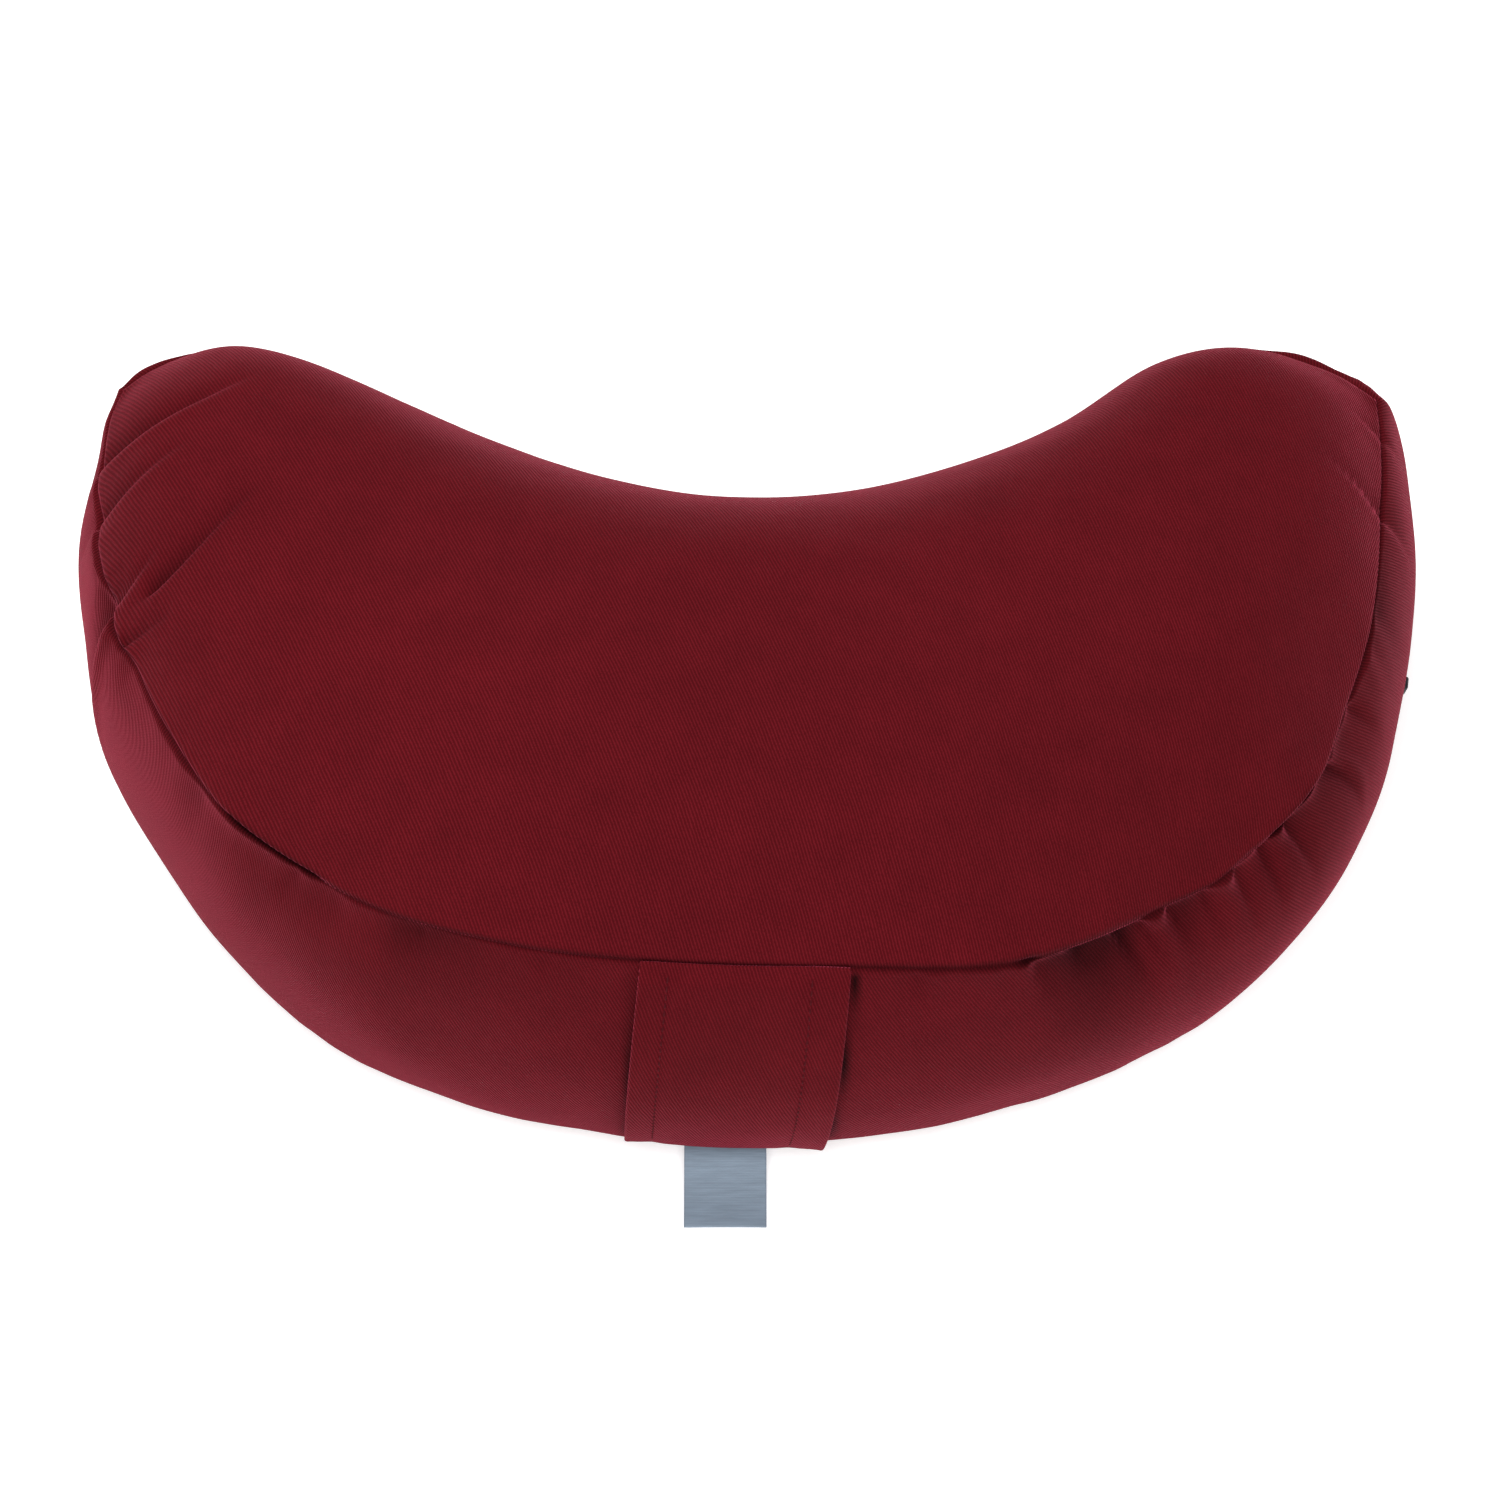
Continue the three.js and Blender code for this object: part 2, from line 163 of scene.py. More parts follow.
# How far the top seam swings out between the folds, and in where they cross it: share of the
# front's length, millimetres outwards.
SWINGS = np.array([
    (0, 0), (0.02, 1.8), (0.05, 0.9), (0.066, 1.4), (0.087, -1.0), (0.106, 1.1), (0.13, 0.2), (0.148, -2.2),
    (0.165, 0.9), (0.178, 0.9), (0.193, -1.4), (0.24, -0.6), (0.285, 0.8), (0.331, -1.3), (0.42, 0.3),
    (0.56, 0.6), (0.606, 2.0), (0.64, 0.4), (0.678, -1.4), (0.705, 0.1), (0.729, -1.7), (0.784, 1.1),
    (0.82, 0), (0.862, 0.6), (0.93, -1.1), (0.98, 0.2), (1, 0),
])
SWING_DOWN = 14
SWING_IN = 9
SWING_PASSES = 4

# How strong the gathers along the front seam are: share of the front's length, strength.
GATHERS = np.array([
    (0, 0.5), (0.2, 0.7), (0.3, 1.3), (0.41, 0.8), (0.44, 0.1), (0.54, 0.1), (0.57, 1.2), (0.62, 2.0),
    (0.7, 2.9), (0.84, 2.9), (0.92, 1.4), (1, 0.6),
])
GATHERS_ELSEWHERE = 0.7
# The slow change in their strength: size of a swell along the seam, seed.
GATHER_SWAY = (90, 3)

# The gathers' swells: size along the seam, share of the height, seed. Each reaches a number of its
# own sizes in from the seam, and sets in over a few millimetres.
PANEL_SWELLS = [(7, 0.25, 21), (14, 0.5, 22), (30, 0.8, 23)]
PANEL_SWELL_REACH = 0.9
PANEL_SWELL_START = 2.5
BAND_SWELLS = [(6, 0.7, 11), (12, 1.1, 12), (26, 0.95, 13)]
BAND_SWELL_REACH = 1.3
BAND_SWELL_START = 1.2
FOOT_SWELL_SHARE = 0.25
FOOT_SWELL_REACH = 1.1
FOOT_SEEDS = 40

# The filling's unevenness: size of a swell, share of the height, shift of the noise.
PANEL_LUMPS = [(46, 1.0, 0.0), (17, 0.3, 3.0)]
BAND_LUMPS = [(42, 1.2, 7.0)]
LUMPS_SET_IN = 16

# Places where the seam is pulled in hard and shows as a dark line: from x, to x, extra depth.
FRONT_PINCHES = [(-165, -128, 2.0), (79, 91, 1.8), (160, 183, 1.6)]
PINCH_SETS_IN = 8
PULL_IN = 0.8
PULL_DOWN = 0.7

# Painted shade: how much the cloth's colour is darkened in folds, seams and gathers and beside the handle,
# where shade falls.
PAINTED_SHADE_WIDTH = 2.0
PAINTED_SHADE_BEHIND = 0.65
PAINTED_SHADE_FULL = 6
PAINTED_SHADE_POWER = 1.5
SEAM_PAINTED_SHADE = 0.75
SEAM_PAINTED_SHADE_WIDTH = 1.15
BAND_SEAM_PAINTED_SHADE = 0.8
PINCH_PAINTED_SHADE = 0.3
GATHER_PAINTED_SHADE = 0.75
GATHER_FULL = 1.6
UNDERCUT_PAINTED_SHADE = 0.42
UNDERCUT_DOWN = 9
STRONG_GATHER = 3
STRAP_PAINTED_SHADE = 1.3
STRAP_PAINTED_SHADE_WIDTH = 1.0
STRAP_PAINTED_SHADE_TOP = 0.04
STRAP_PAINTED_SHADE_FOOT = 0.1
STRAP_GAP_LEFT = 0.8
STRAP_GAP_RIGHT = 1.3
# How strongly the seam's painted shade shows along the front: share of its length, strength.
SEAM_SHADES = np.array([(0, 0.3), (0.08, 0.5), (0.14, 1), (1, 1)])
SEAM_SHADE_ELSEWHERE = 0.6

# Powers of the crown's fall to the front, back and ends, the panel's slope at its edge, and the
# foot: its height, how far it rolls under, and how its rings crowd.
CROWN_FRONT = 2.1
CROWN_BACK = 3.2
CROWN_END = 9
PANEL_SLOPE = 1.2
FOOT_HEIGHT = 12
FOOT_ROLL = 20
ROLL_CROWDING = 1.6

COLUMNS = 440
ROWS = 90
BAND_ROWS = 44
ROLL_ROWS = 6
# Where the columns stand closer: share of the length, reach, how much closer.
COLUMN_PLACES = [(0.1, 0.09, 2.2), (0.8, 0.16, 1.0), (1.0, 0.05, 1.0)]
FINE_STEPS = 4001
ROW_CROWDING = 0.85
BAND_CROWDING = 0.8
BAND_GRAIN = math.radians(5.5)
NORMAL_PASSES = 48

# The handle: where its corners lie along the seams, and how far it stands off the band.
HANDLE = {
    "top_left": -32.0, "top_right": 31.5, "foot_left": -37.4, "foot_right": 24.5,
    "thick": 2.0, "seated": 0.4, "slack": 3.4, "tuck": 0.5, "lift_left": 0.085, "lift_right": 0.03,
}
HANDLE_WIDE = HANDLE["top_right"] - HANDLE["top_left"]
TUCK_LENGTH = 0.06
TUCKED_THICKNESS = 0.3
STRAP_SWELL = 0.25
STRAP_DOWN = 90
STRAP_ACROSS = 56
EDGE_STEPS = 5
PUFF = 0.35
PUFF_FROM_LINE = 4
PUFF_FROM_EDGE = 2
EDGE_POWER = 6
EDGE_LIFT = 0.3
CORNER_LIFT = 1.2
LEFT_LIFT = 0.7
STITCH_SIDES = 6
STITCH_STEPS = 5
STITCH_RADIUS = 0.25
STITCH_END = 0.12
STITCH_SUNK = 0.35
STITCH_RISE = 0.28

# The label's upper face, from the seam out over the floor: y, z.
LABEL_LEFT = -20.0
LABEL_RIGHT = 6.4
LABEL_PROFILE = np.array([
    (-125.2, 8.6), (-131, 7.2), (-136, 4.6), (-142, 2.6), (-147, 1.8), (-152.2, 1.6),
])
LABEL_WAVE = 0.25
LABEL_WAVE_LENGTH = 9.0
LABEL_OFF_FLOOR = 0.1
LABEL_STEPS = 60
LABEL_ACROSS = 40

# The zip's slider and pull: share of the front's length, share of the way down the band, then size
# along, up and out of the band, distance of the middle from the band, and rounding of the edges.
ZIP_STATION = 0.9025
ZIP_DOWN = 0.8
SLIDER_SIZE = (5.0, 5.5, 2.6)
SLIDER_OUT = 1.65
SLIDER_EDGE = 1.0
PULL_SIZE = (4.2, 9, 1.2)
PULL_OUT = 0.95
PULL_EDGE = 0.55
PULL_GAP = 0.3
SLOPE_STEP = 0.05

# The lights, in metres: place, then size.
KEY_LIGHT = ((-0.55, 0.75, 1.85), 1.0)
FRONT_LIGHT = ((0.0, -1.25, 2.05), 1.4)
LIGHTS_AIM = (0, 0, 0.05)
FLOOR_SIZE = 12
SENSOR = 36


def smooth(t):
    return t * t * (3 - 2 * t)


def bell(t):
    """1 at zero, dying away to both sides."""
    return np.exp(-(t**2))


def slope(reach, width, power):
    """1 up to a line, dying away past it over this width."""
    return np.exp(-((np.maximum(reach, 0) / width) ** power))


def along(rows, t):
    """A smooth curve through the rows of a table, at the shares t of its length."""
    t = np.atleast_1d(np.asarray(t, float))
    last = len(rows) - 1
    place = np.clip(t, 0, 1) * last
    i = np.minimum(place.astype(int), last - 1)
    f = (place - i)[:, None]
    padded = np.vstack([2 * rows[0] - rows[1], rows, 2 * rows[-1] - rows[-2]])
    a, b, c, d = (padded[i + k] for k in range(4))
    square = 2 * a - 5 * b + 4 * c - d
    cube = 3 * b - a - 3 * c + d
    return 0.5 * (2 * b + (c - a) * f + square * f**2 + cube * f**3)


def run_along(points):
    """How far along a line of points each of them lies."""
    return np.concatenate([[0], np.cumsum(np.linalg.norm(np.diff(points, axis=0), axis=1))])


def crowded(steps, crowding):
    """Even steps from 0 to 1 that crowd towards both ends."""
    s = np.linspace(0, 1, steps + 1)
    return s - crowding * np.sin(2 * math.pi * s) / (2 * math.pi)


def gathered(steps, places):
    """Steps from 0 to 1 that stand closer at some places: share, reach, how much closer."""
    fine = np.linspace(0, 1, FINE_STEPS)
    density = np.ones(len(fine))
    for share, reach, closer in places:
        density += closer * bell((fine - share) / reach)
    run = np.concatenate([[0], np.cumsum((density[1:] + density[:-1]) / 2)])
    return np.interp(np.linspace(0, 1, steps + 1), run / run[-1], fine)


def ripple(place, period, cell, seed):
    """Smooth noise from -1 to 1 along a closed seam of this length, with one swell for each cell."""
    cells = max(4, round(period / cell))
    heights = np.random.RandomState(seed).uniform(-1, 1, cells)
    t = np.asarray(place) / period * cells
    i = np.floor(t).astype(int)
    f = smooth(t - i)
    return heights[i % cells] * (1 - f) + heights[(i + 1) % cells] * f


def lumps(points, swells):
    """Smooth unevenness at each point, from swells of some sizes, shares and shifts."""
    total = np.zeros(points.reshape(-1, 3).shape[0])
    for cell, share, shift in swells:
        flat = points.reshape(-1, 3) / cell + shift
        total += share * np.array([noise.noise(Vector(p)) for p in flat])
    return total.reshape(points.shape[:-1])


def fold_route(fold):
    """The points of a fold's curved route, at even shares of its length."""
    a, b, c = (np.array(p, float) for p in fold.route)
    t = np.linspace(-FOLD_START, 1, ROUTE_STEPS)[:, None]
    middle = 2 * b - (a + c) / 2
    return (1 - t) ** 2 * a + 2 * t * (1 - t) * middle + t**2 * c, t[:, 0]


def fold_fields(x, y):
    """How deep the folds are at places in plan, below zero on a crest, and how much shade is painted into
    them.
    """
    places = np.stack([np.ravel(x), np.ravel(y)], -1)
    depth = np.zeros(len(places))
    painted_shade = np.zeros(len(places))
    for fold in FOLDS:
        route, shares = fold_route(fold)
        low = route.min(0) - FOLD_REACH
        high = route.max(0) + FOLD_REACH
        near = np.flatnonzero(((places > low) & (places < high)).all(1))
        if not len(near):
            continue
        gap = places[near, None] - route[None]
        closest = (gap**2).sum(2).argmin(1)
        step = np.gradient(route, axis=0)[closest]
        stride = np.linalg.norm(step, axis=1)
        tangent = step / stride[:, None]
        away = gap[np.arange(len(near)), closest]
        t = shares[closest] + (away * tangent).sum(1) / stride * (shares[1] - shares[0])
        reach = (tangent[:, 0] * away[:, 1] - tangent[:, 1] * away[:, 0]) * np.sign(tangent[:, 0])
        inward = np.clip(t, 0, 1)
        narrow = 1 - FOLD_NARROWS * inward
        back = slope(reach, fold.gentle * narrow, BACK_POWER)
        wall = slope(-reach, fold.steep * narrow, WALL_POWER)
        crest = bell((reach / fold.steep + CREST_PLACE) / CREST_WIDTH)
        fade = smooth(np.clip((t + FOLD_START) / FOLD_START, 0, 1)) * (1 - inward) ** fold.dies
        fade *= fold.seam + (1 - fold.seam) * smooth(np.clip(t / FOLD_SETS_IN, 0, 1))
        depth[near] += fade * (fold.depth * back * wall - fold.crest * crest)
        # Painted shade behind each fold's crest and down its steep wall.
        inside = slope(reach, PAINTED_SHADE_BEHIND * fold.gentle, 1) * slope(-reach, PAINTED_SHADE_WIDTH, 2)
        painted_shade[near] += fade * inside * min(1, fold.depth / PAINTED_SHADE_FULL)
    return depth.reshape(np.shape(x)), painted_shade.reshape(np.shape(x))


def seam_loop(us, vs):
    """The whole top seam as one loop, anticlockwise from above, and the direction outwards."""
    loop = np.vstack([
        along(FRONT_SEAM, us[:-1]),
        along(RIGHT_SEAM, vs[:-1]),
        along(BACK_SEAM, us[1:][::-1]),
        along(LEFT_SEAM, vs[1:][::-1]),
    ])
    step = np.roll(loop, -1, 0) - np.roll(loop, 1, 0)
    out = np.stack([step[:, 1], -step[:, 0]], -1)
    out /= np.linalg.norm(out, axis=1)[:, None]
    for _ in range(NORMAL_PASSES):
        out = 2 * out + np.roll(out, 1, 0) + np.roll(out, -1, 0)
        out /= np.linalg.norm(out, axis=1)[:, None]
    return loop, out


def band_place(rows, out, w, off=0.0):
    """Places on the band: w from the top seam (0) to the bottom seam (1), off in front of it."""
    fold, _ = fold_fields(rows[:, 0], rows[:, 1])
    puff = rows[:, 5] * w / SHOULDER_DOWN * np.exp(1 - w / SHOULDER_DOWN)
    bulge = rows[:, 3] * 4 * w * (1 - w) + rows[:, 4] * w + puff + off
    z = rows[:, 2] + (FOOT_HEIGHT - rows[:, 2]) * w - fold * (1 - w) ** FOLD_AT_THE_SEAM
    z += puff * SHOULDER_LIFT
    return np.stack([rows[:, 0] + out[:, 0] * bulge, rows[:, 1] + out[:, 1] * bulge, z], -1)


def coons(front, back, left, right, us, vs):
    """A sheet of places between four edges: front and back run along u, left and right along v."""
    u = us[:, None, None]
    v = vs[None, :, None]
    sides = (1 - v) * front[:, None] + v * back[:, None]
    ends = (1 - u) * left[None] + u * right[None]
    corners = (1 - u) * ((1 - v) * front[0] + v * back[0]) + u * ((1 - v) * front[-1] + v * back[-1])
    return sides + ends - corners


def ring_faces(first, second, start, end, high, low):
    """Quads from one closed ring of vertex numbers to the next, and their corners' weave coordinates.

    Each column's quad runs from start to end along the ring, and from high on the first ring to low
    on the second.
    """
    after = np.roll(np.arange(len(first)), -1)
    quads = np.stack([second, second[after], first[after], first], -1)
    places = np.stack([
        np.stack([start, low], -1), np.stack([end, low[after]], -1),
        np.stack([end, high[after]], -1), np.stack([start, high], -1),
    ], 1)
    return quads.tolist(), places.reshape(-1, 2)


def grid_faces(at, weave, turned=False):
    """Quads over a grid of vertex numbers, or the same ones turned over, and their weave coordinates."""
    corners = [(slice(None, -1), slice(None, -1)), (slice(1, None), slice(None, -1)),
               (slice(1, None), slice(1, None)), (slice(None, -1), slice(1, None))]
    if turned:
        corners = corners[:1] + corners[:0:-1]
    quads = np.stack([at[c] for c in corners], -1).reshape(-1, 4)
    return quads.tolist(), np.stack([weave[c] for c in corners], -2).reshape(-1, 2)


def new_piece(name, points, faces, places=None):
    """A mesh object from points in millimetres and faces, with weave coordinates for each corner."""
    mesh = bpy.data.meshes.new(name)
    mesh.from_pydata((np.asarray(points) * MM).tolist(), [], [list(map(int, f)) for f in faces])
    if places is not None:
        layer = mesh.uv_layers.new(name="weave")
        layer.data.foreach_set("uv", np.asarray(places, np.float32).ravel() * MM)
    mesh.validate()
    mesh.update()
    piece = bpy.data.objects.new(name, mesh)
    bpy.context.scene.collection.objects.link(piece)
    for polygon in mesh.polygons:
        polygon.use_smooth = True
    return piece


def dress(piece, material, slot, *nodes):
    """Gives a finished piece its material, its body and the solids that it stands for."""
    piece.data.materials.clear()
    piece.data.materials.append(material)
    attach(piece, "root")
    if nodes:
        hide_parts(*nodes)


class Shader:
    """A material's node tree, built by short calls that each return an output socket."""

    def __init__(self, name):
        self.material = bpy.data.materials.new(name)
        self.material.use_nodes = True
        self.tree = self.material.node_tree
        self.surface = self.tree.nodes["Principled BSDF"]

    def node(self, kind, **settings):
        made = self.tree.nodes.new(kind)
        for key, value in settings.items():
            setattr(made, key, value)
        return made

    def feed(self, socket, value):
        if isinstance(value, bpy.types.NodeSocket):
            self.tree.links.new(value, socket)
        else:
            socket.default_value = value

    def math(self, operation, *values, clamp=False):
        made = self.node("ShaderNodeMath", operation=operation, use_clamp=clamp)
        for socket, value in zip(made.inputs, values):
            self.feed(socket, value)
        return made.outputs[0]

    def plus(self, first, second):
        return self.math("ADD", first, second)

    def times(self, first, second):
        return self.math("MULTIPLY", first, second)

    def spread(self, value, span, start):
        """A value from 0 to 1, spread over this span from this start."""
        return self.math("MULTIPLY_ADD", value, span, start)

    def wave(self, turns, shift=0.0):
        """A sine from 0 to 1 over so many turns, shifted by an angle."""
        return self.spread(self.math("SINE", self.spread(turns, 2 * math.pi, shift)), 0.5, 0.5)

    def blend(self, share, first, second, kind="MIX"):
        made = self.node("ShaderNodeMix", data_type="RGBA", blend_type=kind)
        self.feed(made.inputs[0], share)
        self.feed(made.inputs[6], first)
        self.feed(made.inputs[7], second)
        return made.outputs[2]

    def ramp(self, value, low, high):
        made = self.node("ShaderNodeMapRange", interpolation_type="SMOOTHSTEP")
        self.feed(made.inputs["Value"], value)
        made.inputs["From Min"].default_value = low
        made.inputs["From Max"].default_value = high
        return made.outputs[0]

    def vector(self, x, y, z=0.0):
        made = self.node("ShaderNodeCombineXYZ")
        for socket, value in zip(made.inputs, (x, y, z)):
            self.feed(socket, value)
        return made.outputs[0]

    def clouds(self, place, scale, detail=2.0):
        made = self.node("ShaderNodeTexNoise", noise_dimensions="3D")
        self.feed(made.inputs["Vector"], place)
        made.inputs["Scale"].default_value = scale
        made.inputs["Detail"].default_value = detail
        return made.outputs[0]

    def weave_place(self):
        """The two weave coordinates, in metres along the cloth."""
        place = self.node("ShaderNodeUVMap", uv_map="weave")
        split = self.node("ShaderNodeSeparateXYZ")
        self.tree.links.new(place.outputs[0], split.inputs[0])
        return split.outputs[0], split.outputs[1]

    def object_place(self):
        return self.node("ShaderNodeTexCoord").outputs["Object"]

    def relief(self, height, distance, strength=1.0):
        made = self.node("ShaderNodeBump")
        made.inputs["Strength"].default_value = strength
        made.inputs["Distance"].default_value = distance
        self.feed(made.inputs["Height"], height)
        self.tree.links.new(made.outputs[0], self.surface.inputs["Normal"])

    def finish(self, colour, roughness, **others):
        self.feed(self.surface.inputs["Base Color"], colour)
        self.feed(self.surface.inputs["Roughness"], roughness)
        for name, value in others.items():
            self.surface.inputs[name.replace("_", " ")].default_value = value
        return self.material


def linear(colour):
    """An sRGB colour as the linear one that the shader takes."""
    made = [c / 12.92 if c <= 0.04045 else ((c + 0.055) / 1.055) ** 2.4 for c in colour]
    return (*made, 1.0)


def twill(name, cloth):
    """Cotton twill: slanting ribs of short floats, dark in the valleys between them."""
    shader = Shader(name)
    across, up = shader.weave_place()
    place = shader.vector(across, up)
    here = shader.object_place()
    sin = math.sin(cloth.rib_angle)
    cos = math.cos(cloth.rib_angle)
    rib = shader.plus(shader.times(across, sin / cloth.rib_pitch), shader.times(up, cos / cloth.rib_pitch))
    rib = shader.plus(rib, shader.spread(shader.clouds(place, 95.0), 0.55, -0.275))
    run = shader.plus(
        shader.times(across, cos / cloth.float_pitch), shader.times(up, -sin / cloth.float_pitch))

    # Each rib's floats start half a float further along than its neighbour's.
    step = shader.times(shader.math("FLOOR", rib), math.pi)
    body = shader.times(shader.wave(rib), shader.spread(shader.wave(run, step), 0.3, 0.7))
    fuzz = shader.clouds(place, 2600.0, 3.0)
    speck = shader.clouds(place, 1300.0)
    slub = shader.clouds(shader.vector(shader.times(rib, 0.8), shader.times(run, 0.16)), 1.0)
    tone = body
    for grain, share in ((slub, 0.5), (fuzz, 0.7), (speck, 1.0)):
        tone = shader.plus(tone, shader.spread(grain, share, -share / 2))
    colour = shader.blend(shader.ramp(tone, 0.12, 0.88), linear(cloth.valley), linear(cloth.rib))

    # Broad and small clouds of wear, and painted shade in the folds, seams and gathers and beside the handle.
    painted_shade = shader.node("ShaderNodeAttribute", attribute_name="painted_shade").outputs["Fac"]
    shade = shader.spread(shader.clouds(here, 9.0, 3.0), 0.24, 0.88)
    shade = shader.times(shade, shader.spread(shader.clouds(here, 70.0, 5.0), 0.3, 0.85))
    # Darken the colour by the painted shade of folds, seams, gathers and handle edges.
    shade = shader.times(shade, shader.math("MULTIPLY_ADD", painted_shade, -cloth.painted_shade_strength, 1.0, clamp=True))
    colour = shader.blend(1.0, colour, shader.vector(shade, shade, shade), "MULTIPLY")
    shader.relief(shader.plus(body, shader.times(fuzz, 0.25)), cloth.rib_height, 0.9)
    return shader.finish(
        colour, 0.9, Specular_IOR_Level=0.05, Sheen_Weight=cloth.sheen, Sheen_Roughness=0.32,
        Sheen_Tint=linear(cloth.sheen_colour),
    )


def thread(name, colour):
    """Sewing thread, with a fine twist."""
    shader = Shader(name)
    tone = shader.clouds(shader.object_place(), 1800.0)
    dark = linear([c * 0.7 for c in colour])
    shader.relief(tone, 0.0001, 0.6)
    return shader.finish(shader.blend(tone, dark, linear(colour)), 0.8, Specular_IOR_Level=0.1)


def ribbon(name, label):
    """The label's woven ribbon: fine cross ribs with a faint warp."""
    shader = Shader(name)
    across, up = shader.weave_place()
    rib = shader.math("SINE", shader.times(up, 2 * math.pi / label.rib_pitch))
    warp = shader.math("SINE", shader.times(across, 2 * math.pi / (label.rib_pitch * 0.7)))
    cloth = shader.spread(warp, 0.15, shader.spread(rib, 0.35, 0.5))
    streak = shader.clouds(shader.vector(shader.times(across, 90.0), shader.times(up, 900.0)), 1.0, 3.0)
    tone = shader.plus(shader.times(cloth, 0.22), shader.times(streak, 0.78))
    dark = linear([c * 0.82 for c in label.colour])
    light = linear([min(1.0, c * 1.12) for c in label.colour])
    shader.relief(cloth, 0.00006, 0.5)
    return shader.finish(shader.blend(tone, dark, light), 0.62, Specular_IOR_Level=0.35,
                         Sheen_Weight=0.15, Sheen_Roughness=0.5)


def enamel(name, colour):
    """Dark enamel on a small die-cast piece, a little worn on top."""
    shader = Shader(name)
    wear = shader.clouds(shader.object_place(), 700.0, 4.0)
    bare = linear([min(1, c * 1.8) for c in colour])
    worn = shader.blend(shader.ramp(wear, 0.55, 0.75), linear(colour), bare)
    shader.relief(wear, 0.00005, 0.4)
    return shader.finish(worn, shader.spread(wear, 0.2, 0.3), Metallic=0.6)


def amount(name, description, default, **kind):
    return FloatProperty(name=name, description=description, default=default, **kind)


def length(name, description, default):
    return amount(name, description, default, unit="LENGTH")


def colour(name, description, default):
    return FloatVectorProperty(name=name, description=description, default=default, subtype="COLOR")


class CushionCover(PropertyGroup):
    crown_middle: length("Crown", "Rise of the top panel at mid length", 0.044)
    crown_lobe: length("Lobe crown", "Rise of the top panel in the lobes", 0.0265)
    seam_depth: length("Seam depth", "How far the seams are pulled in", 0.0009)
    seam_width: length("Seam width", "How far a seam's valley reaches", 0.0009)
    pucker: length("Puckers", "Height of the gathers along the seams", 0.0008)
    lump: length("Lumps", "Unevenness from the filling", 0.0009)


class CushionCloth(PropertyGroup):
    rib_pitch: length("Rib pitch", "From rib to rib of the twill", 0.001)
    float_pitch: length("Float pitch", "Length of one float along a rib", 0.0009)
    rib_angle: amount("Rib angle", "Slant of the ribs", math.radians(68.5), unit="ROTATION")
    rib_height: length("Rib height", "Relief of the ribs", 0.0002)
    rib: colour("Rib colour", "Colour on the ribs", (0.376, 0.067, 0.1))
    valley: colour("Valley colour", "Colour between the ribs", (0.284, 0.0325, 0.057))
    # How much the painted shade darkens the cloth in folds, seams, gathers and beside the handle.
    painted_shade_strength: amount("Hollow shade", "How much darker folds and seams are", 0.72, subtype="FACTOR")
    sheen: amount("Sheen", "Strength of the nap's sheen", 0.32, subtype="FACTOR")
    sheen_colour: colour("Sheen colour", "Tint of the nap's sheen", (1.0, 0.38, 0.5))


class CushionHandle(PropertyGroup):
    stitch_length: length("Stitch", "Length of one stitch", 0.0021)
    stitch_gap: length("Stitch gap", "Gap between two stitches", 0.0009)
    left_margin: length("Left margin", "From the left edge to its stitching", 0.0088)
    right_margin: length("Right margin", "From the right edge to its stitching", 0.0115)
    thread_colour: colour("Thread", "Colour of the sewing thread", (0.33, 0.06, 0.09))


class CushionLabel(PropertyGroup):
    thickness: length("Thickness", "Thickness of the ribbon", 0.0008)
    rib_pitch: length("Rib pitch", "From rib to rib of the ribbon", 0.00055)
    colour: colour("Colour", "Colour of the ribbon", (0.52, 0.585, 0.65))


class CushionZip(PropertyGroup):
    colour: colour("Colour", "Colour of the slider and pull", (0.16, 0.16, 0.18))


class CushionStage(PropertyGroup):
    distance: length("Distance", "From the camera to its target", 1.35)
    elevation: amount("Elevation", "Angle above the floor", math.radians(58), unit="ROTATION")
    target_height: length("Target height", "Height of the camera's target", 0.05)
    lens: amount("Lens", "Focal length of the camera", 98.5, unit="CAMERA")
    shift_x: amount("Shift X", "Sideways shift of the lens", 0.00233)
    shift_y: amount("Shift Y", "Upward shift of the lens", -0.00533)
    floor: colour("Floor", "Colour of the floor", (0.95, 0.95, 0.95))
    floor_glow: amount("Floor glow", "Light from the white floor itself", 0.45)
    sky: amount("Surroundings", "Strength of the even light all round", 0.43)
    key: amount("Key light", "Power of the light behind at the left", 27, unit="POWER")
    fill: amount("Front light", "Power of the light in front", 38, unit="POWER")


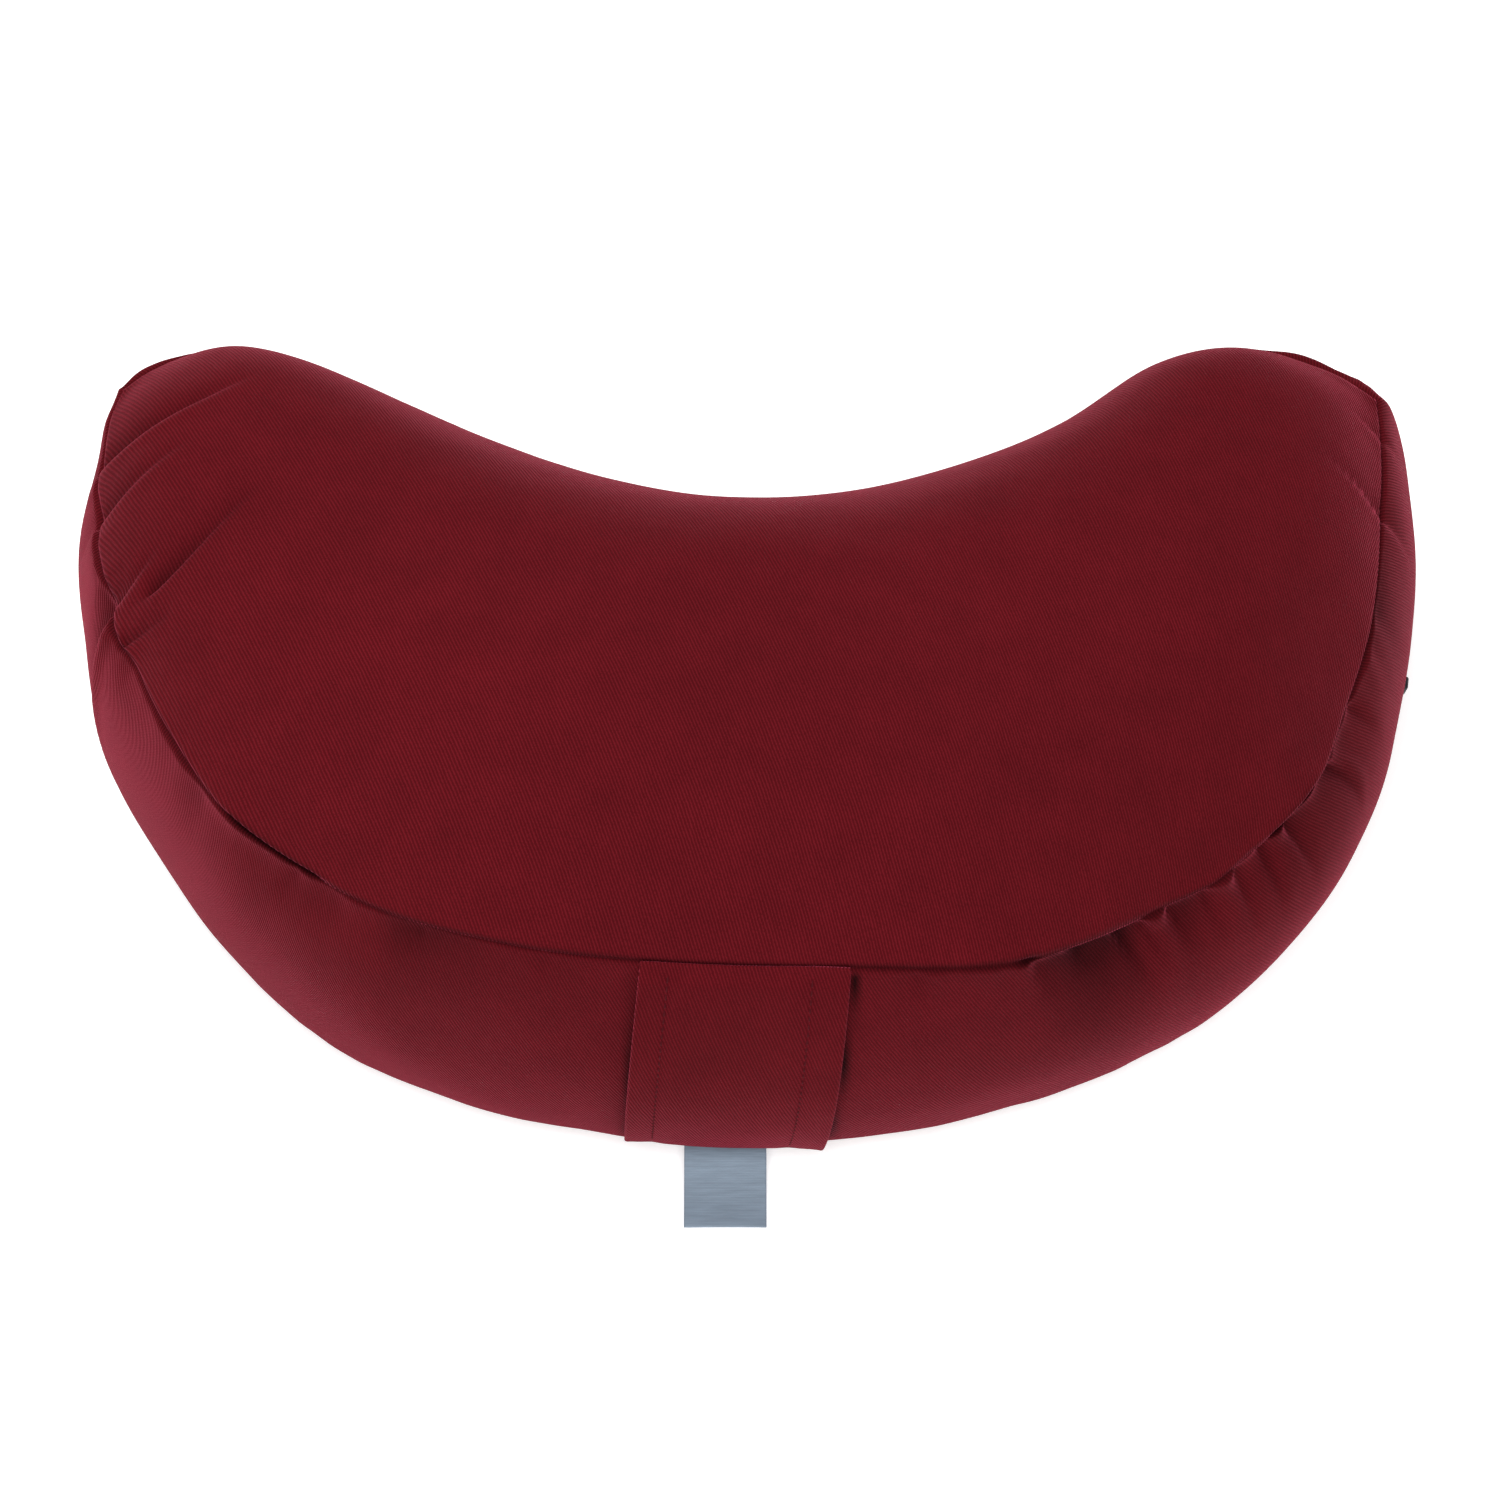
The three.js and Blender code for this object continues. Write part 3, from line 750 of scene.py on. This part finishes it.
class Seam:
    """The top seam as one closed loop of columns, with what draws it in and swings it out."""

    def __init__(self, us, vs):
        self.rows, self.out = seam_loop(us, vs)
        self.count = len(self.rows)
        self.step = np.linalg.norm(np.roll(self.rows[:, :2], -1, 0) - self.rows[:, :2], axis=1)
        self.length = self.step.sum()
        self.place = np.concatenate([[0], np.cumsum(self.step)[:-1]])
        front = np.arange(self.count) < COLUMNS
        shares = np.concatenate([us[:-1], np.ones(self.count - COLUMNS)])
        self.swing = np.interp(shares, SWINGS[:, 0], SWINGS[:, 1])
        for _ in range(SWING_PASSES):
            self.swing = (np.roll(self.swing, 1) + 2 * self.swing + np.roll(self.swing, -1)) / 4
        sway = 0.75 + 0.5 * ripple(self.place, self.length, *GATHER_SWAY)
        strength = np.interp(shares, GATHERS[:, 0], GATHERS[:, 1])
        self.gather = sway * np.where(front, strength, GATHERS_ELSEWHERE)
        shades = np.interp(shares, SEAM_SHADES[:, 0], SEAM_SHADES[:, 1])
        self.shade = np.where(front, shades, SEAM_SHADE_ELSEWHERE)
        self.pinch = np.zeros(self.count)
        x = self.rows[:, 0]
        for low, high, extra in FRONT_PINCHES:
            inside = np.clip(np.minimum(x - low, high - x) / PINCH_SETS_IN, 0, 1)
            self.pinch += np.where(front, smooth(inside) * extra, 0)

    def pull(self, settings):
        """How hard the seam is pulled in at each column, in millimetres."""
        return settings.seam_depth / MM + self.pinch

    def painted_shade(self, away, near):
        """How much shade is painted on the cloth at this distance from the seam's columns."""
        pinch = np.clip(self.pinch[near] * PINCH_PAINTED_SHADE, 0, 1)
        return (SEAM_PAINTED_SHADE * self.shade[near] + pinch) * bell(away / (SEAM_PAINTED_SHADE_WIDTH * (1 + pinch)))

    def away(self, start):
        """How far along the seam each column lies from a place in plan, and below zero before it."""
        nearest = np.linalg.norm(self.rows[:, :2] - start, axis=1).argmin()
        gap = self.place - self.place[nearest]
        return (gap + self.length / 2) % self.length - self.length / 2


def crease_fields(seam, drop):
    """How deep the creases down the band are, on rings this far down it, and how much shade is painted in
    them.
    """
    depth = np.zeros(drop.shape)
    painted_shade = np.zeros(drop.shape)
    setting_in = CREASE_AT_SEAM + (1 - CREASE_AT_SEAM) * smooth(np.clip(drop / CREASE_SETS_IN, 0, 1))
    for crease in CREASES:
        reach = seam.away(crease.start) - crease.lean * drop - crease.bend * drop**2
        walls = slope(-reach, crease.before, CREASE_POWER) * slope(reach, crease.after, CREASE_POWER)
        steep = min(crease.before, crease.after)
        side = 1 if crease.after < crease.before else -1
        crest = bell((side * reach / steep - CREST_PLACE) / CREST_WIDTH)
        fade = smooth(np.clip(1 - drop / crease.down, 0, 1)) * setting_in
        depth += fade * (crease.depth * walls - crease.crest * crest)
        # Painted shade in each crease's valley.
        painted_shade += fade * walls**PAINTED_SHADE_POWER * min(1, crease.depth / PAINTED_SHADE_FULL)
    return depth, painted_shade


class CUSHION_OT_cover(Operator):
    """Make the filled cover: top panel, side band and underside in one piece."""

    bl_idname = "cushion.cover"
    bl_label = "Cushion Cover"

    def execute(self, context):
        settings = context.scene.cushion_cover
        us = gathered(COLUMNS, COLUMN_PLACES)
        vs = crowded(ROWS, ROW_CROWDING)
        seam = Seam(us, vs)
        plan = coons(
            along(FRONT_SEAM, us), along(BACK_SEAM, us), along(LEFT_SEAM, vs), along(RIGHT_SEAM, vs), us, vs)
        top, top_painted_shade = self.panel(settings, seam, plan, us, vs)
        rings, drop, band_painted_shade = self.band(settings, seam)

        # Vertex numbers: the top grid, then the rings below it, of which the first is the grid's edge.
        top_at = np.arange(len(top)).reshape(COLUMNS + 1, ROWS + 1)
        edge = np.concatenate([
            top_at[:-1, 0], top_at[-1, :-1], top_at[1:, -1][::-1], top_at[0, 1:][::-1],
        ])
        below = len(top) + np.arange((len(rings) - 1) * seam.count).reshape(-1, seam.count)
        ring_at = np.vstack([edge, below])
        points = np.vstack([top, rings[1:].reshape(-1, 3)])

        faces, weave = grid_faces(top_at, self.panel_weave(plan))
        places = [weave]
        start = seam.place
        for r in range(len(rings) - 1):
            quads, weave = ring_faces(
                ring_at[r], ring_at[r + 1], start, start + seam.step, -drop[r], -drop[r + 1])
            faces += quads
            places.append(self.turned(weave))
        for corners in self.underside():
            faces.append(ring_at[-1][corners].tolist())
            places.append(self.panel_weave(rings[-1][corners]))
        piece = new_piece("cover", points, faces, np.vstack(places))
        # The painted shade, kept on the points for the twill to darken its colour by.
        painted_shade = np.concatenate([top_painted_shade, band_painted_shade[1:].ravel()])
        layer = piece.data.attributes.new("painted_shade", "FLOAT", "POINT")
        layer.data.foreach_set("value", painted_shade.astype(np.float32))
        dress(piece, twill("burgundy twill", context.scene.cushion_cloth), "cover", "cushion")
        return {"FINISHED"}

    def panel(self, settings, seam, plan, us, vs):
        """The top panel's places: crowned, folded, uneven, and drawn in along its seam."""
        a = np.abs(2 * us - 1)[:, None]
        b = np.abs(2 * vs - 1)[None, :]
        power = np.where(vs < 0.5, CROWN_FRONT, CROWN_BACK)[None, :]
        middle = settings.crown_middle / MM
        lobe = settings.crown_lobe / MM
        rise = (middle + (lobe - middle) * a**2) * (1 - a**CROWN_END) * (1 - b**power)
        top = plan[..., :3].copy()
        depth, painted_shade = fold_fields(plan[..., 0], plan[..., 1])
        top[..., 2] += rise - depth
        top = top.reshape(-1, 3)

        # The nearest column of the seam, and how far off it is on the slope of the panel.
        tree = kdtree.KDTree(seam.count)
        for k, row in enumerate(seam.rows):
            tree.insert((row[0], row[1], 0), k)
        tree.balance()
        found = [tree.find((p[0], p[1], 0)) for p in plan.reshape(-1, plan.shape[-1])]
        near = np.array([f[1] for f in found])
        away = np.array([f[2] for f in found]) * PANEL_SLOPE
        cling = bell(away / (settings.seam_width / MM)) * seam.pull(settings)[near]
        swing = seam.swing[near] * bell(away / SWING_IN)
        top[:, :2] += (swing - cling * PULL_IN)[:, None] * seam.out[near]
        top[:, 2] -= cling * PULL_DOWN
        top[:, 2] += lumps(top, PANEL_LUMPS) * settings.lump / MM * (1 - bell(away / LUMPS_SET_IN))
        for cell, share, seed in PANEL_SWELLS:
            swell = ripple(seam.place[near], seam.length, cell, seed) * share * settings.pucker / MM
            fade = np.exp(-away / (cell * PANEL_SWELL_REACH)) * (1 - np.exp(-away / PANEL_SWELL_START))
            top[:, 2] += swell * seam.gather[near] * fade
        # Painted shade of the folds and along the seam.
        return top, painted_shade.ravel() + seam.painted_shade(away, near)

    def band(self, settings, seam):
        """Rings of places down the band and under its foot, how far down they lie, and how much shade is
        painted on them.
        """
        rings = [band_place(seam.rows, seam.out, w) for w in crowded(BAND_ROWS, BAND_CROWDING)]
        foot = rings[-1]
        for share in (np.arange(1, ROLL_ROWS + 1) / ROLL_ROWS) ** ROLL_CROWDING:
            inset = seam.out * FOOT_ROLL * share
            rings.append(np.column_stack([foot[:, :2] - inset, foot[:, 2] * (1 - share) ** 2]))
        rings = np.array(rings)
        drop = np.cumsum(np.linalg.norm(np.diff(rings, axis=0), axis=2), 0)
        drop = np.vstack([np.zeros(seam.count), drop])
        from_foot = np.abs(drop - drop[BAND_ROWS])

        pucker = settings.pucker / MM
        gathers = np.zeros(drop.shape)
        outward = seam.swing * bell(drop / SWING_DOWN)
        for cell, share, seed in BAND_SWELLS:
            upper = ripple(seam.place, seam.length, cell, seed) * share * pucker * seam.gather
            lower = ripple(seam.place, seam.length, cell, seed + FOOT_SEEDS) * share * pucker
            fade = np.exp(-drop / (cell * BAND_SWELL_REACH)) * (1 - np.exp(-drop / BAND_SWELL_START))
            gathers += upper * fade
            outward += lower * FOOT_SWELL_SHARE * np.exp(-from_foot / (cell * FOOT_SWELL_REACH))
        depth, painted_shade = crease_fields(seam, drop)
        width = settings.seam_width / MM
        notch = seam.pull(settings) * bell(drop / width)
        outward += gathers - depth - notch * PULL_IN
        outward -= settings.seam_depth / MM * bell(from_foot / width)
        outward[1:] += lumps(rings[1:], BAND_LUMPS) * settings.lump / MM

        # Painted shade along the seam, in the gathers, under the strongly gathered seam and beside the
        # handle.
        painted_shade += seam.painted_shade(drop, np.arange(seam.count)) * BAND_SEAM_PAINTED_SHADE
        painted_shade += np.clip(-gathers / GATHER_FULL, 0, 1) * GATHER_PAINTED_SHADE
        painted_shade += np.clip(seam.gather / STRONG_GATHER, 0, 1) * UNDERCUT_PAINTED_SHADE * np.exp(-drop / UNDERCUT_DOWN)
        painted_shade += self.strap_painted_shade(rings, drop)

        rings[..., :2] += outward[..., None] * seam.out
        rings[: BAND_ROWS // 2, :, 2] -= notch[: BAND_ROWS // 2] * PULL_DOWN
        rings[BAND_ROWS + 1 :, :, 2] = np.maximum(rings[BAND_ROWS + 1 :, :, 2], 0)
        rings[-1, :, 2] = 0
        return rings, drop, painted_shade

    def strap_painted_shade(self, rings, drop):
        """How much shade is painted on the band beside the edges of the handle, which stands off it."""
        down = np.clip(drop / drop[BAND_ROWS], 0, 1)
        x = rings[..., 0]
        left, right = strap_edges(down)
        top = smooth(np.clip(down / STRAP_PAINTED_SHADE_TOP, 0, 1))
        foot = smooth(np.clip((1 - down) / STRAP_PAINTED_SHADE_FOOT, 0, 1))
        gap = np.minimum(np.abs(x - left + STRAP_GAP_LEFT), np.abs(x - right - STRAP_GAP_RIGHT))
        return top * foot * (rings[..., 1] < 0) * STRAP_PAINTED_SHADE * bell(gap / STRAP_PAINTED_SHADE_WIDTH)

    def turned(self, places):
        """The band's weave coordinates, turned to the slant of its grain."""
        cos = math.cos(BAND_GRAIN)
        sin = math.sin(BAND_GRAIN)
        return places @ np.array([(cos, -sin), (sin, cos)])

    def underside(self):
        """The flat underside's faces: strips from the front's foot to the back's, and one at each end."""
        right_end = COLUMNS + ROWS
        left_end = right_end + COLUMNS
        faces = [np.array([i, left_end - i, left_end - i - 1, i + 1]) for i in range(COLUMNS)]
        faces.append(np.arange(COLUMNS, right_end + 1)[::-1])
        faces.append(np.append(np.arange(left_end, left_end + ROWS), 0)[::-1])
        return faces

    def panel_weave(self, plan):
        """Weave coordinates of a panel: its plan, with the ribs turning a little along it."""
        x = plan[..., 0]
        y = plan[..., 1]
        return np.stack([x + 0.00027 * x * x, y * (1 - 0.00123 * x)], -1)


def front_rows(t):
    """The front seam at shares of its length, with the direction outwards."""
    t = np.atleast_1d(t)
    rows = along(FRONT_SEAM, t)
    step = along(FRONT_SEAM, t + 0.004) - along(FRONT_SEAM, t - 0.004)
    out = np.stack([step[:, 1], -step[:, 0]], -1)
    return rows, out / np.linalg.norm(out, axis=1)[:, None]


def front_share(x):
    """The shares of the front's length at which the seam has these x."""
    t = np.linspace(0.25, 0.75, 2000)
    return np.interp(x, along(FRONT_SEAM, t)[:, 0], t)


def tucked(w):
    """0 at the handle's top, where it comes out of the seam, to 1 where it lies free."""
    return smooth(min(1, max(0, w / TUCK_LENGTH)))


def strap_edges(w):
    """The x of the handle's left and right edges, w down it."""
    left = HANDLE["top_left"] + (HANDLE["foot_left"] - HANDLE["top_left"]) * w
    right = HANDLE["top_right"] + (HANDLE["foot_right"] - HANDLE["top_right"]) * w
    return left, right


def strap_place(j, w, off):
    """Places on the handle: j across it from 0 to 1, w down it, off in front of its back face."""
    left, right = strap_edges(w)
    rows, out = front_rows(front_share(left + (right - left) * j))
    stand = HANDLE["seated"] + HANDLE["slack"] * math.sin(math.pi * min(w, 1))
    stand -= HANDLE["tuck"] * (1 - tucked(w))
    lift = HANDLE["lift_left"] + (HANDLE["lift_right"] - HANDLE["lift_left"]) * j
    reach = w * (1 - lift)
    places = [
        band_place(rows[k : k + 1], out[k : k + 1], reach[k], stand + off[k])[0] for k in range(len(j))
    ]
    return np.array(places)


class CUSHION_OT_handle(Operator):
    """Make the carrying handle, a doubled strap, and its two lines of stitching."""

    bl_idname = "cushion.handle"
    bl_label = "Carrying Handle"

    def execute(self, context):
        settings = context.scene.cushion_handle
        left = settings.left_margin / MM / HANDLE_WIDE
        right = 1 - settings.right_margin / MM / HANDLE_WIDE
        section, depth = self.section(left, right)
        rings = []
        for i in range(STRAP_DOWN + 1):
            w = i / STRAP_DOWN
            swell = STRAP_SWELL * np.array([noise.noise(Vector((j * 3.1, w * 4.3, 2.0))) for j in section])
            thin = TUCKED_THICKNESS + (1 - TUCKED_THICKNESS) * tucked(w)
            rings.append(strap_place(section, w, depth * thin + swell + self.edge_lift(section, w)))
        rings = np.array(rings)
        count = len(section)
        at = np.arange(rings.shape[0] * count).reshape(-1, count)
        down = run_along(rings[:, count // 4])
        across = section * HANDLE_WIDE
        level = np.ones(count)
        faces = []
        places = []
        for r in range(STRAP_DOWN):
            quads, weave = ring_faces(
                at[r], at[r + 1], across, np.roll(across, -1), -down[r] * level, -down[r + 1] * level)
            faces += quads
            places.append(weave)
        for ring, order in ((0, 1), (STRAP_DOWN, -1)):
            faces.append(at[ring][::order].tolist())
            places.append(np.stack([across[::order], -down[ring] * level], -1))
        strap = new_piece("handle_strap", rings.reshape(-1, 3), faces, np.vstack(places))
        dress(strap, twill("strap twill", context.scene.cushion_cloth), "handle", "handle")

        stitches = self.stitches(settings, down[-1], (left, right))
        dress(stitches, thread("handle thread", settings.thread_colour), "handle")
        return {"FINISHED"}

    def section(self, left, right):
        """The strap's cross-section: shares across it, and depths in front of its back face."""
        thick = HANDLE["thick"]
        round_off = thick / 2 / HANDLE_WIDE
        turn = np.linspace(-math.pi / 2, math.pi / 2, EDGE_STEPS + 2)[1:-1]
        front = np.linspace(round_off, 1 - round_off, STRAP_ACROSS + 1)
        from_line = np.minimum(np.abs(front - left), np.abs(front - right)) * HANDLE_WIDE
        from_edge = np.minimum(front, 1 - front) * HANDLE_WIDE
        puff = PUFF * np.minimum(1, from_line / PUFF_FROM_LINE) - PUFF
        puff *= np.minimum(1, from_edge / PUFF_FROM_EDGE)
        right_edge = 1 - round_off + round_off * np.cos(turn)
        left_edge = round_off - round_off * np.cos(turn)
        shares = np.concatenate([left_edge, front, right_edge[::-1], front[::-1]])
        rise = thick / 2 + thick / 2 * np.sin(turn)
        depths = np.concatenate([rise, thick + puff, rise[::-1], np.zeros(len(front))])
        return shares, depths

    def edge_lift(self, section, w):
        """How far the strap's edges stand off, most at the lower corners."""
        edge = np.abs(2 * section - 1) ** EDGE_POWER
        return edge * np.where(section > 0.5, 1.0, LEFT_LIFT) * (EDGE_LIFT + CORNER_LIFT * w**3)

    def stitches(self, settings, run, lines):
        """Two rows of short threads lying in their grooves, down a strap of this length."""
        pitch = (settings.stitch_length + settings.stitch_gap) / MM
        points = []
        faces = []
        for line in lines:
            for n in range(int(run / pitch) - 2):
                start = (n + 1) * pitch / run
                self.one_stitch(points, faces, line, start, settings.stitch_length / MM / run)
        return new_piece("handle_stitching", points, faces)

    def one_stitch(self, points, faces, line, start, share):
        """One stitch as a small spindle, sunk at both ends."""
        base = len(points)
        sides = range(STITCH_SIDES)
        for i in range(STITCH_STEPS + 1):
            t = i / STITCH_STEPS
            girth = STITCH_RADIUS * math.sin(math.pi * (STITCH_END + (1 - 2 * STITCH_END) * t))
            rise = HANDLE["thick"] - STITCH_SUNK + STITCH_RISE * math.sin(math.pi * t)
            for s in sides:
                angle = 2 * math.pi * s / STITCH_SIDES
                j = np.array([line + girth * math.cos(angle) / HANDLE_WIDE])
                off = np.array([rise + girth * math.sin(angle)])
                points.append(strap_place(j, start + share * t, off)[0])
        for i in range(STITCH_STEPS):
            near = base + i * STITCH_SIDES
            far = near + STITCH_SIDES
            for s in sides:
                after = (s + 1) % STITCH_SIDES
                faces.append([near + s, near + after, far + after, far + s])
        faces.append([base + s for s in sides][::-1])
        faces.append([base + STITCH_STEPS * STITCH_SIDES + s for s in sides])


class CUSHION_OT_label(Operator):
    """Make the woven label, bare, sewn into the bottom seam."""

    bl_idname = "cushion.label"
    bl_label = "Woven Label"

    def execute(self, context):
        settings = context.scene.cushion_label
        profile = along(LABEL_PROFILE, np.linspace(0, 1, LABEL_STEPS + 1))
        run = run_along(profile)
        across = np.linspace(LABEL_LEFT, LABEL_RIGHT, LABEL_ACROSS + 1)
        wave = LABEL_WAVE * np.sin((across - LABEL_LEFT) / LABEL_WAVE_LENGTH)[:, None]
        wave = wave * smooth(run / run[-1])[None]
        upper = np.stack([
            np.repeat(across[:, None], len(run), 1),
            np.repeat(profile[None, :, 0], len(across), 0),
            np.repeat(profile[None, :, 1], len(across), 0) + wave,
        ], -1)
        lower = upper - np.array([0, 0, settings.thickness / MM])
        lower[..., 2] = np.maximum(lower[..., 2], LABEL_OFF_FLOOR)
        label = new_piece("label_ribbon", *self.slab(upper, lower, across, run))
        dress(label, ribbon("label ribbon", settings), "label", "label")
        return {"FINISHED"}

    def slab(self, upper, lower, across, run):
        """A thin closed slab between two grids of places: its points, faces and weave coordinates."""
        columns, rows = upper.shape[:2]
        high = np.arange(columns * rows).reshape(columns, rows)
        low = high + high.size
        weave = np.stack([np.repeat(across[:, None], rows, 1), np.repeat(-run[None], columns, 0)], -1)
        faces, places = grid_faces(high, weave, turned=True)
        under, under_places = grid_faces(low, weave)
        faces += under
        places = [places, under_places]
        rim = [(i, 0) for i in range(columns - 1)]
        rim += [(columns - 1, j) for j in range(rows - 1)]
        rim += [(i, rows - 1) for i in range(columns - 1, 0, -1)]
        rim += [(0, j) for j in range(rows - 1, 0, -1)]
        for here, after in zip(rim, rim[1:] + rim[:1]):
            faces.append([high[here], high[after], low[after], low[here]])
            places.append([weave[here], weave[after], weave[after], weave[here]])
        return np.vstack([upper.reshape(-1, 3), lower.reshape(-1, 3)]), faces, np.vstack(places)


def zip_frame(down):
    """Where a small piece lies on the band: its origin and its axes along, up and out of the band."""
    rows, out = front_rows(ZIP_STATION)
    here, above, below = (band_place(rows, out, w)[0] for w in (down, down - SLOPE_STEP, down + SLOPE_STEP))
    back = Vector((-out[0, 1], out[0, 0], 0))
    up = Vector(above - below).normalized()
    face = back.cross(up).normalized()
    matrix = Matrix((back, up, face)).transposed().to_4x4()
    matrix.translation = Vector(here) * MM
    return matrix


def box_piece(name, size, off, edge):
    """A cube primitive at its size, this far off the band, with its edges rounded."""
    bpy.ops.object.select_all(action="DESELECT")
    bpy.ops.mesh.primitive_cube_add(size=1, location=(0, 0, 0))
    piece = bpy.context.active_object
    piece.name = name
    piece.data.name = name
    bpy.ops.object.mode_set(mode="EDIT")
    bpy.ops.mesh.select_all(action="SELECT")
    bpy.ops.transform.resize(value=[s * MM for s in size])
    bpy.ops.transform.translate(value=(0, 0, off * MM))
    bpy.ops.mesh.bevel(offset=edge * MM, segments=4, profile=0.5, affect="EDGES", clamp_overlap=True)
    bpy.ops.object.mode_set(mode="OBJECT")
    for polygon in piece.data.polygons:
        polygon.use_smooth = True
    return piece


class CUSHION_OT_zip(Operator):
    """Make the zip's slider and the pull that hangs from it."""

    bl_idname = "cushion.zip"
    bl_label = "Zip Slider"

    def execute(self, context):
        finish = enamel("zip enamel", context.scene.cushion_zip.colour)
        slider = box_piece("zip_slider_body", SLIDER_SIZE, SLIDER_OUT, SLIDER_EDGE)
        slider.data.transform(zip_frame(ZIP_DOWN))
        dress(slider, finish, "zip", "zip_slider")
        rows, _ = front_rows(ZIP_STATION)
        hang = (SLIDER_SIZE[1] / 2 + PULL_GAP + PULL_SIZE[1] / 2) / (rows[0, 2] - FOOT_HEIGHT)
        pull = box_piece("zip_pull_tab", PULL_SIZE, PULL_OUT, PULL_EDGE)
        pull.data.transform(zip_frame(ZIP_DOWN + hang))
        dress(pull, finish, "zip", "zip_pull")
        return {"FINISHED"}


class CUSHION_OT_stage(Operator):
    """Set up the floor, the soft lights and the camera."""

    bl_idname = "cushion.stage"
    bl_label = "Floor, Lights and Camera"

    def execute(self, context):
        settings = context.scene.cushion_stage
        bpy.ops.object.select_all(action="DESELECT")
        bpy.ops.mesh.primitive_plane_add(size=FLOOR_SIZE, location=(0, 0, 0))
        floor = bpy.context.active_object
        floor.name = "floor"
        shader = Shader("pale floor")
        floor.data.materials.append(shader.finish(
            linear(settings.floor), 0.9, Specular_IOR_Level=0.1, Emission_Color=(1, 1, 1, 1),
            Emission_Strength=settings.floor_glow))

        world = bpy.data.worlds.new("soft studio")
        world.use_nodes = True
        world.node_tree.nodes["Background"].inputs["Color"].default_value = (1, 1, 1, 1)
        world.node_tree.nodes["Background"].inputs["Strength"].default_value = settings.sky
        context.scene.world = world
        self.softbox("key light", *KEY_LIGHT, settings.key)
        self.softbox("front light", *FRONT_LIGHT, settings.fill)

        target = Vector((0, 0, settings.target_height))
        toward = Vector((0, -math.cos(settings.elevation), math.sin(settings.elevation)))
        camera = bpy.data.objects.new("camera", bpy.data.cameras.new("camera"))
        camera.data.lens = settings.lens
        camera.data.sensor_width = SENSOR
        camera.data.shift_x = settings.shift_x
        camera.data.shift_y = settings.shift_y
        camera.location = target + toward * settings.distance
        camera.rotation_euler = (-toward).to_track_quat("-Z", "Y").to_euler()
        context.scene.collection.objects.link(camera)
        context.scene.camera = camera
        context.scene.view_settings.view_transform = "Standard"
        return {"FINISHED"}

    def softbox(self, name, place, size, power):
        light = bpy.data.lights.new(name, "AREA")
        light.shape = "SQUARE"
        light.size = size
        light.energy = power
        lamp = bpy.data.objects.new(name, light)
        lamp.location = place
        lamp.rotation_euler = (Vector(LIGHTS_AIM) - Vector(place)).to_track_quat("-Z", "Y").to_euler()
        bpy.context.scene.collection.objects.link(lamp)


class CUSHION_PT_panel(Panel):
    bl_label = "Meditation Cushion"
    bl_idname = "CUSHION_PT_panel"
    bl_space_type = "VIEW_3D"
    bl_region_type = "UI"
    bl_category = "Cushion"

    def draw(self, context):
        for name, group in SETTINGS.items():
            box = self.layout.box()
            for key in group.__annotations__:
                box.prop(getattr(context.scene, name), key)
        for operator in OPERATORS:
            self.layout.operator(operator.bl_idname)


SETTINGS = {
    "cushion_cover": CushionCover,
    "cushion_cloth": CushionCloth,
    "cushion_handle": CushionHandle,
    "cushion_label": CushionLabel,
    "cushion_zip": CushionZip,
    "cushion_stage": CushionStage,
}
OPERATORS = [CUSHION_OT_cover, CUSHION_OT_handle, CUSHION_OT_label, CUSHION_OT_zip, CUSHION_OT_stage]


def register():
    for name, group in SETTINGS.items():
        bpy.utils.register_class(group)
        setattr(bpy.types.Scene, name, PointerProperty(type=group))
    for operator in OPERATORS:
        bpy.utils.register_class(operator)
    bpy.utils.register_class(CUSHION_PT_panel)


def unregister():
    bpy.utils.unregister_class(CUSHION_PT_panel)
    for operator in reversed(OPERATORS):
        bpy.utils.unregister_class(operator)
    for name, group in SETTINGS.items():
        delattr(bpy.types.Scene, name)
        bpy.utils.unregister_class(group)


def main():
    register()
    bpy.ops.cushion.cover()
    bpy.ops.cushion.handle()
    bpy.ops.cushion.label()
    bpy.ops.cushion.zip()
    bpy.ops.cushion.stage()


if __name__ == "__main__":
    main()
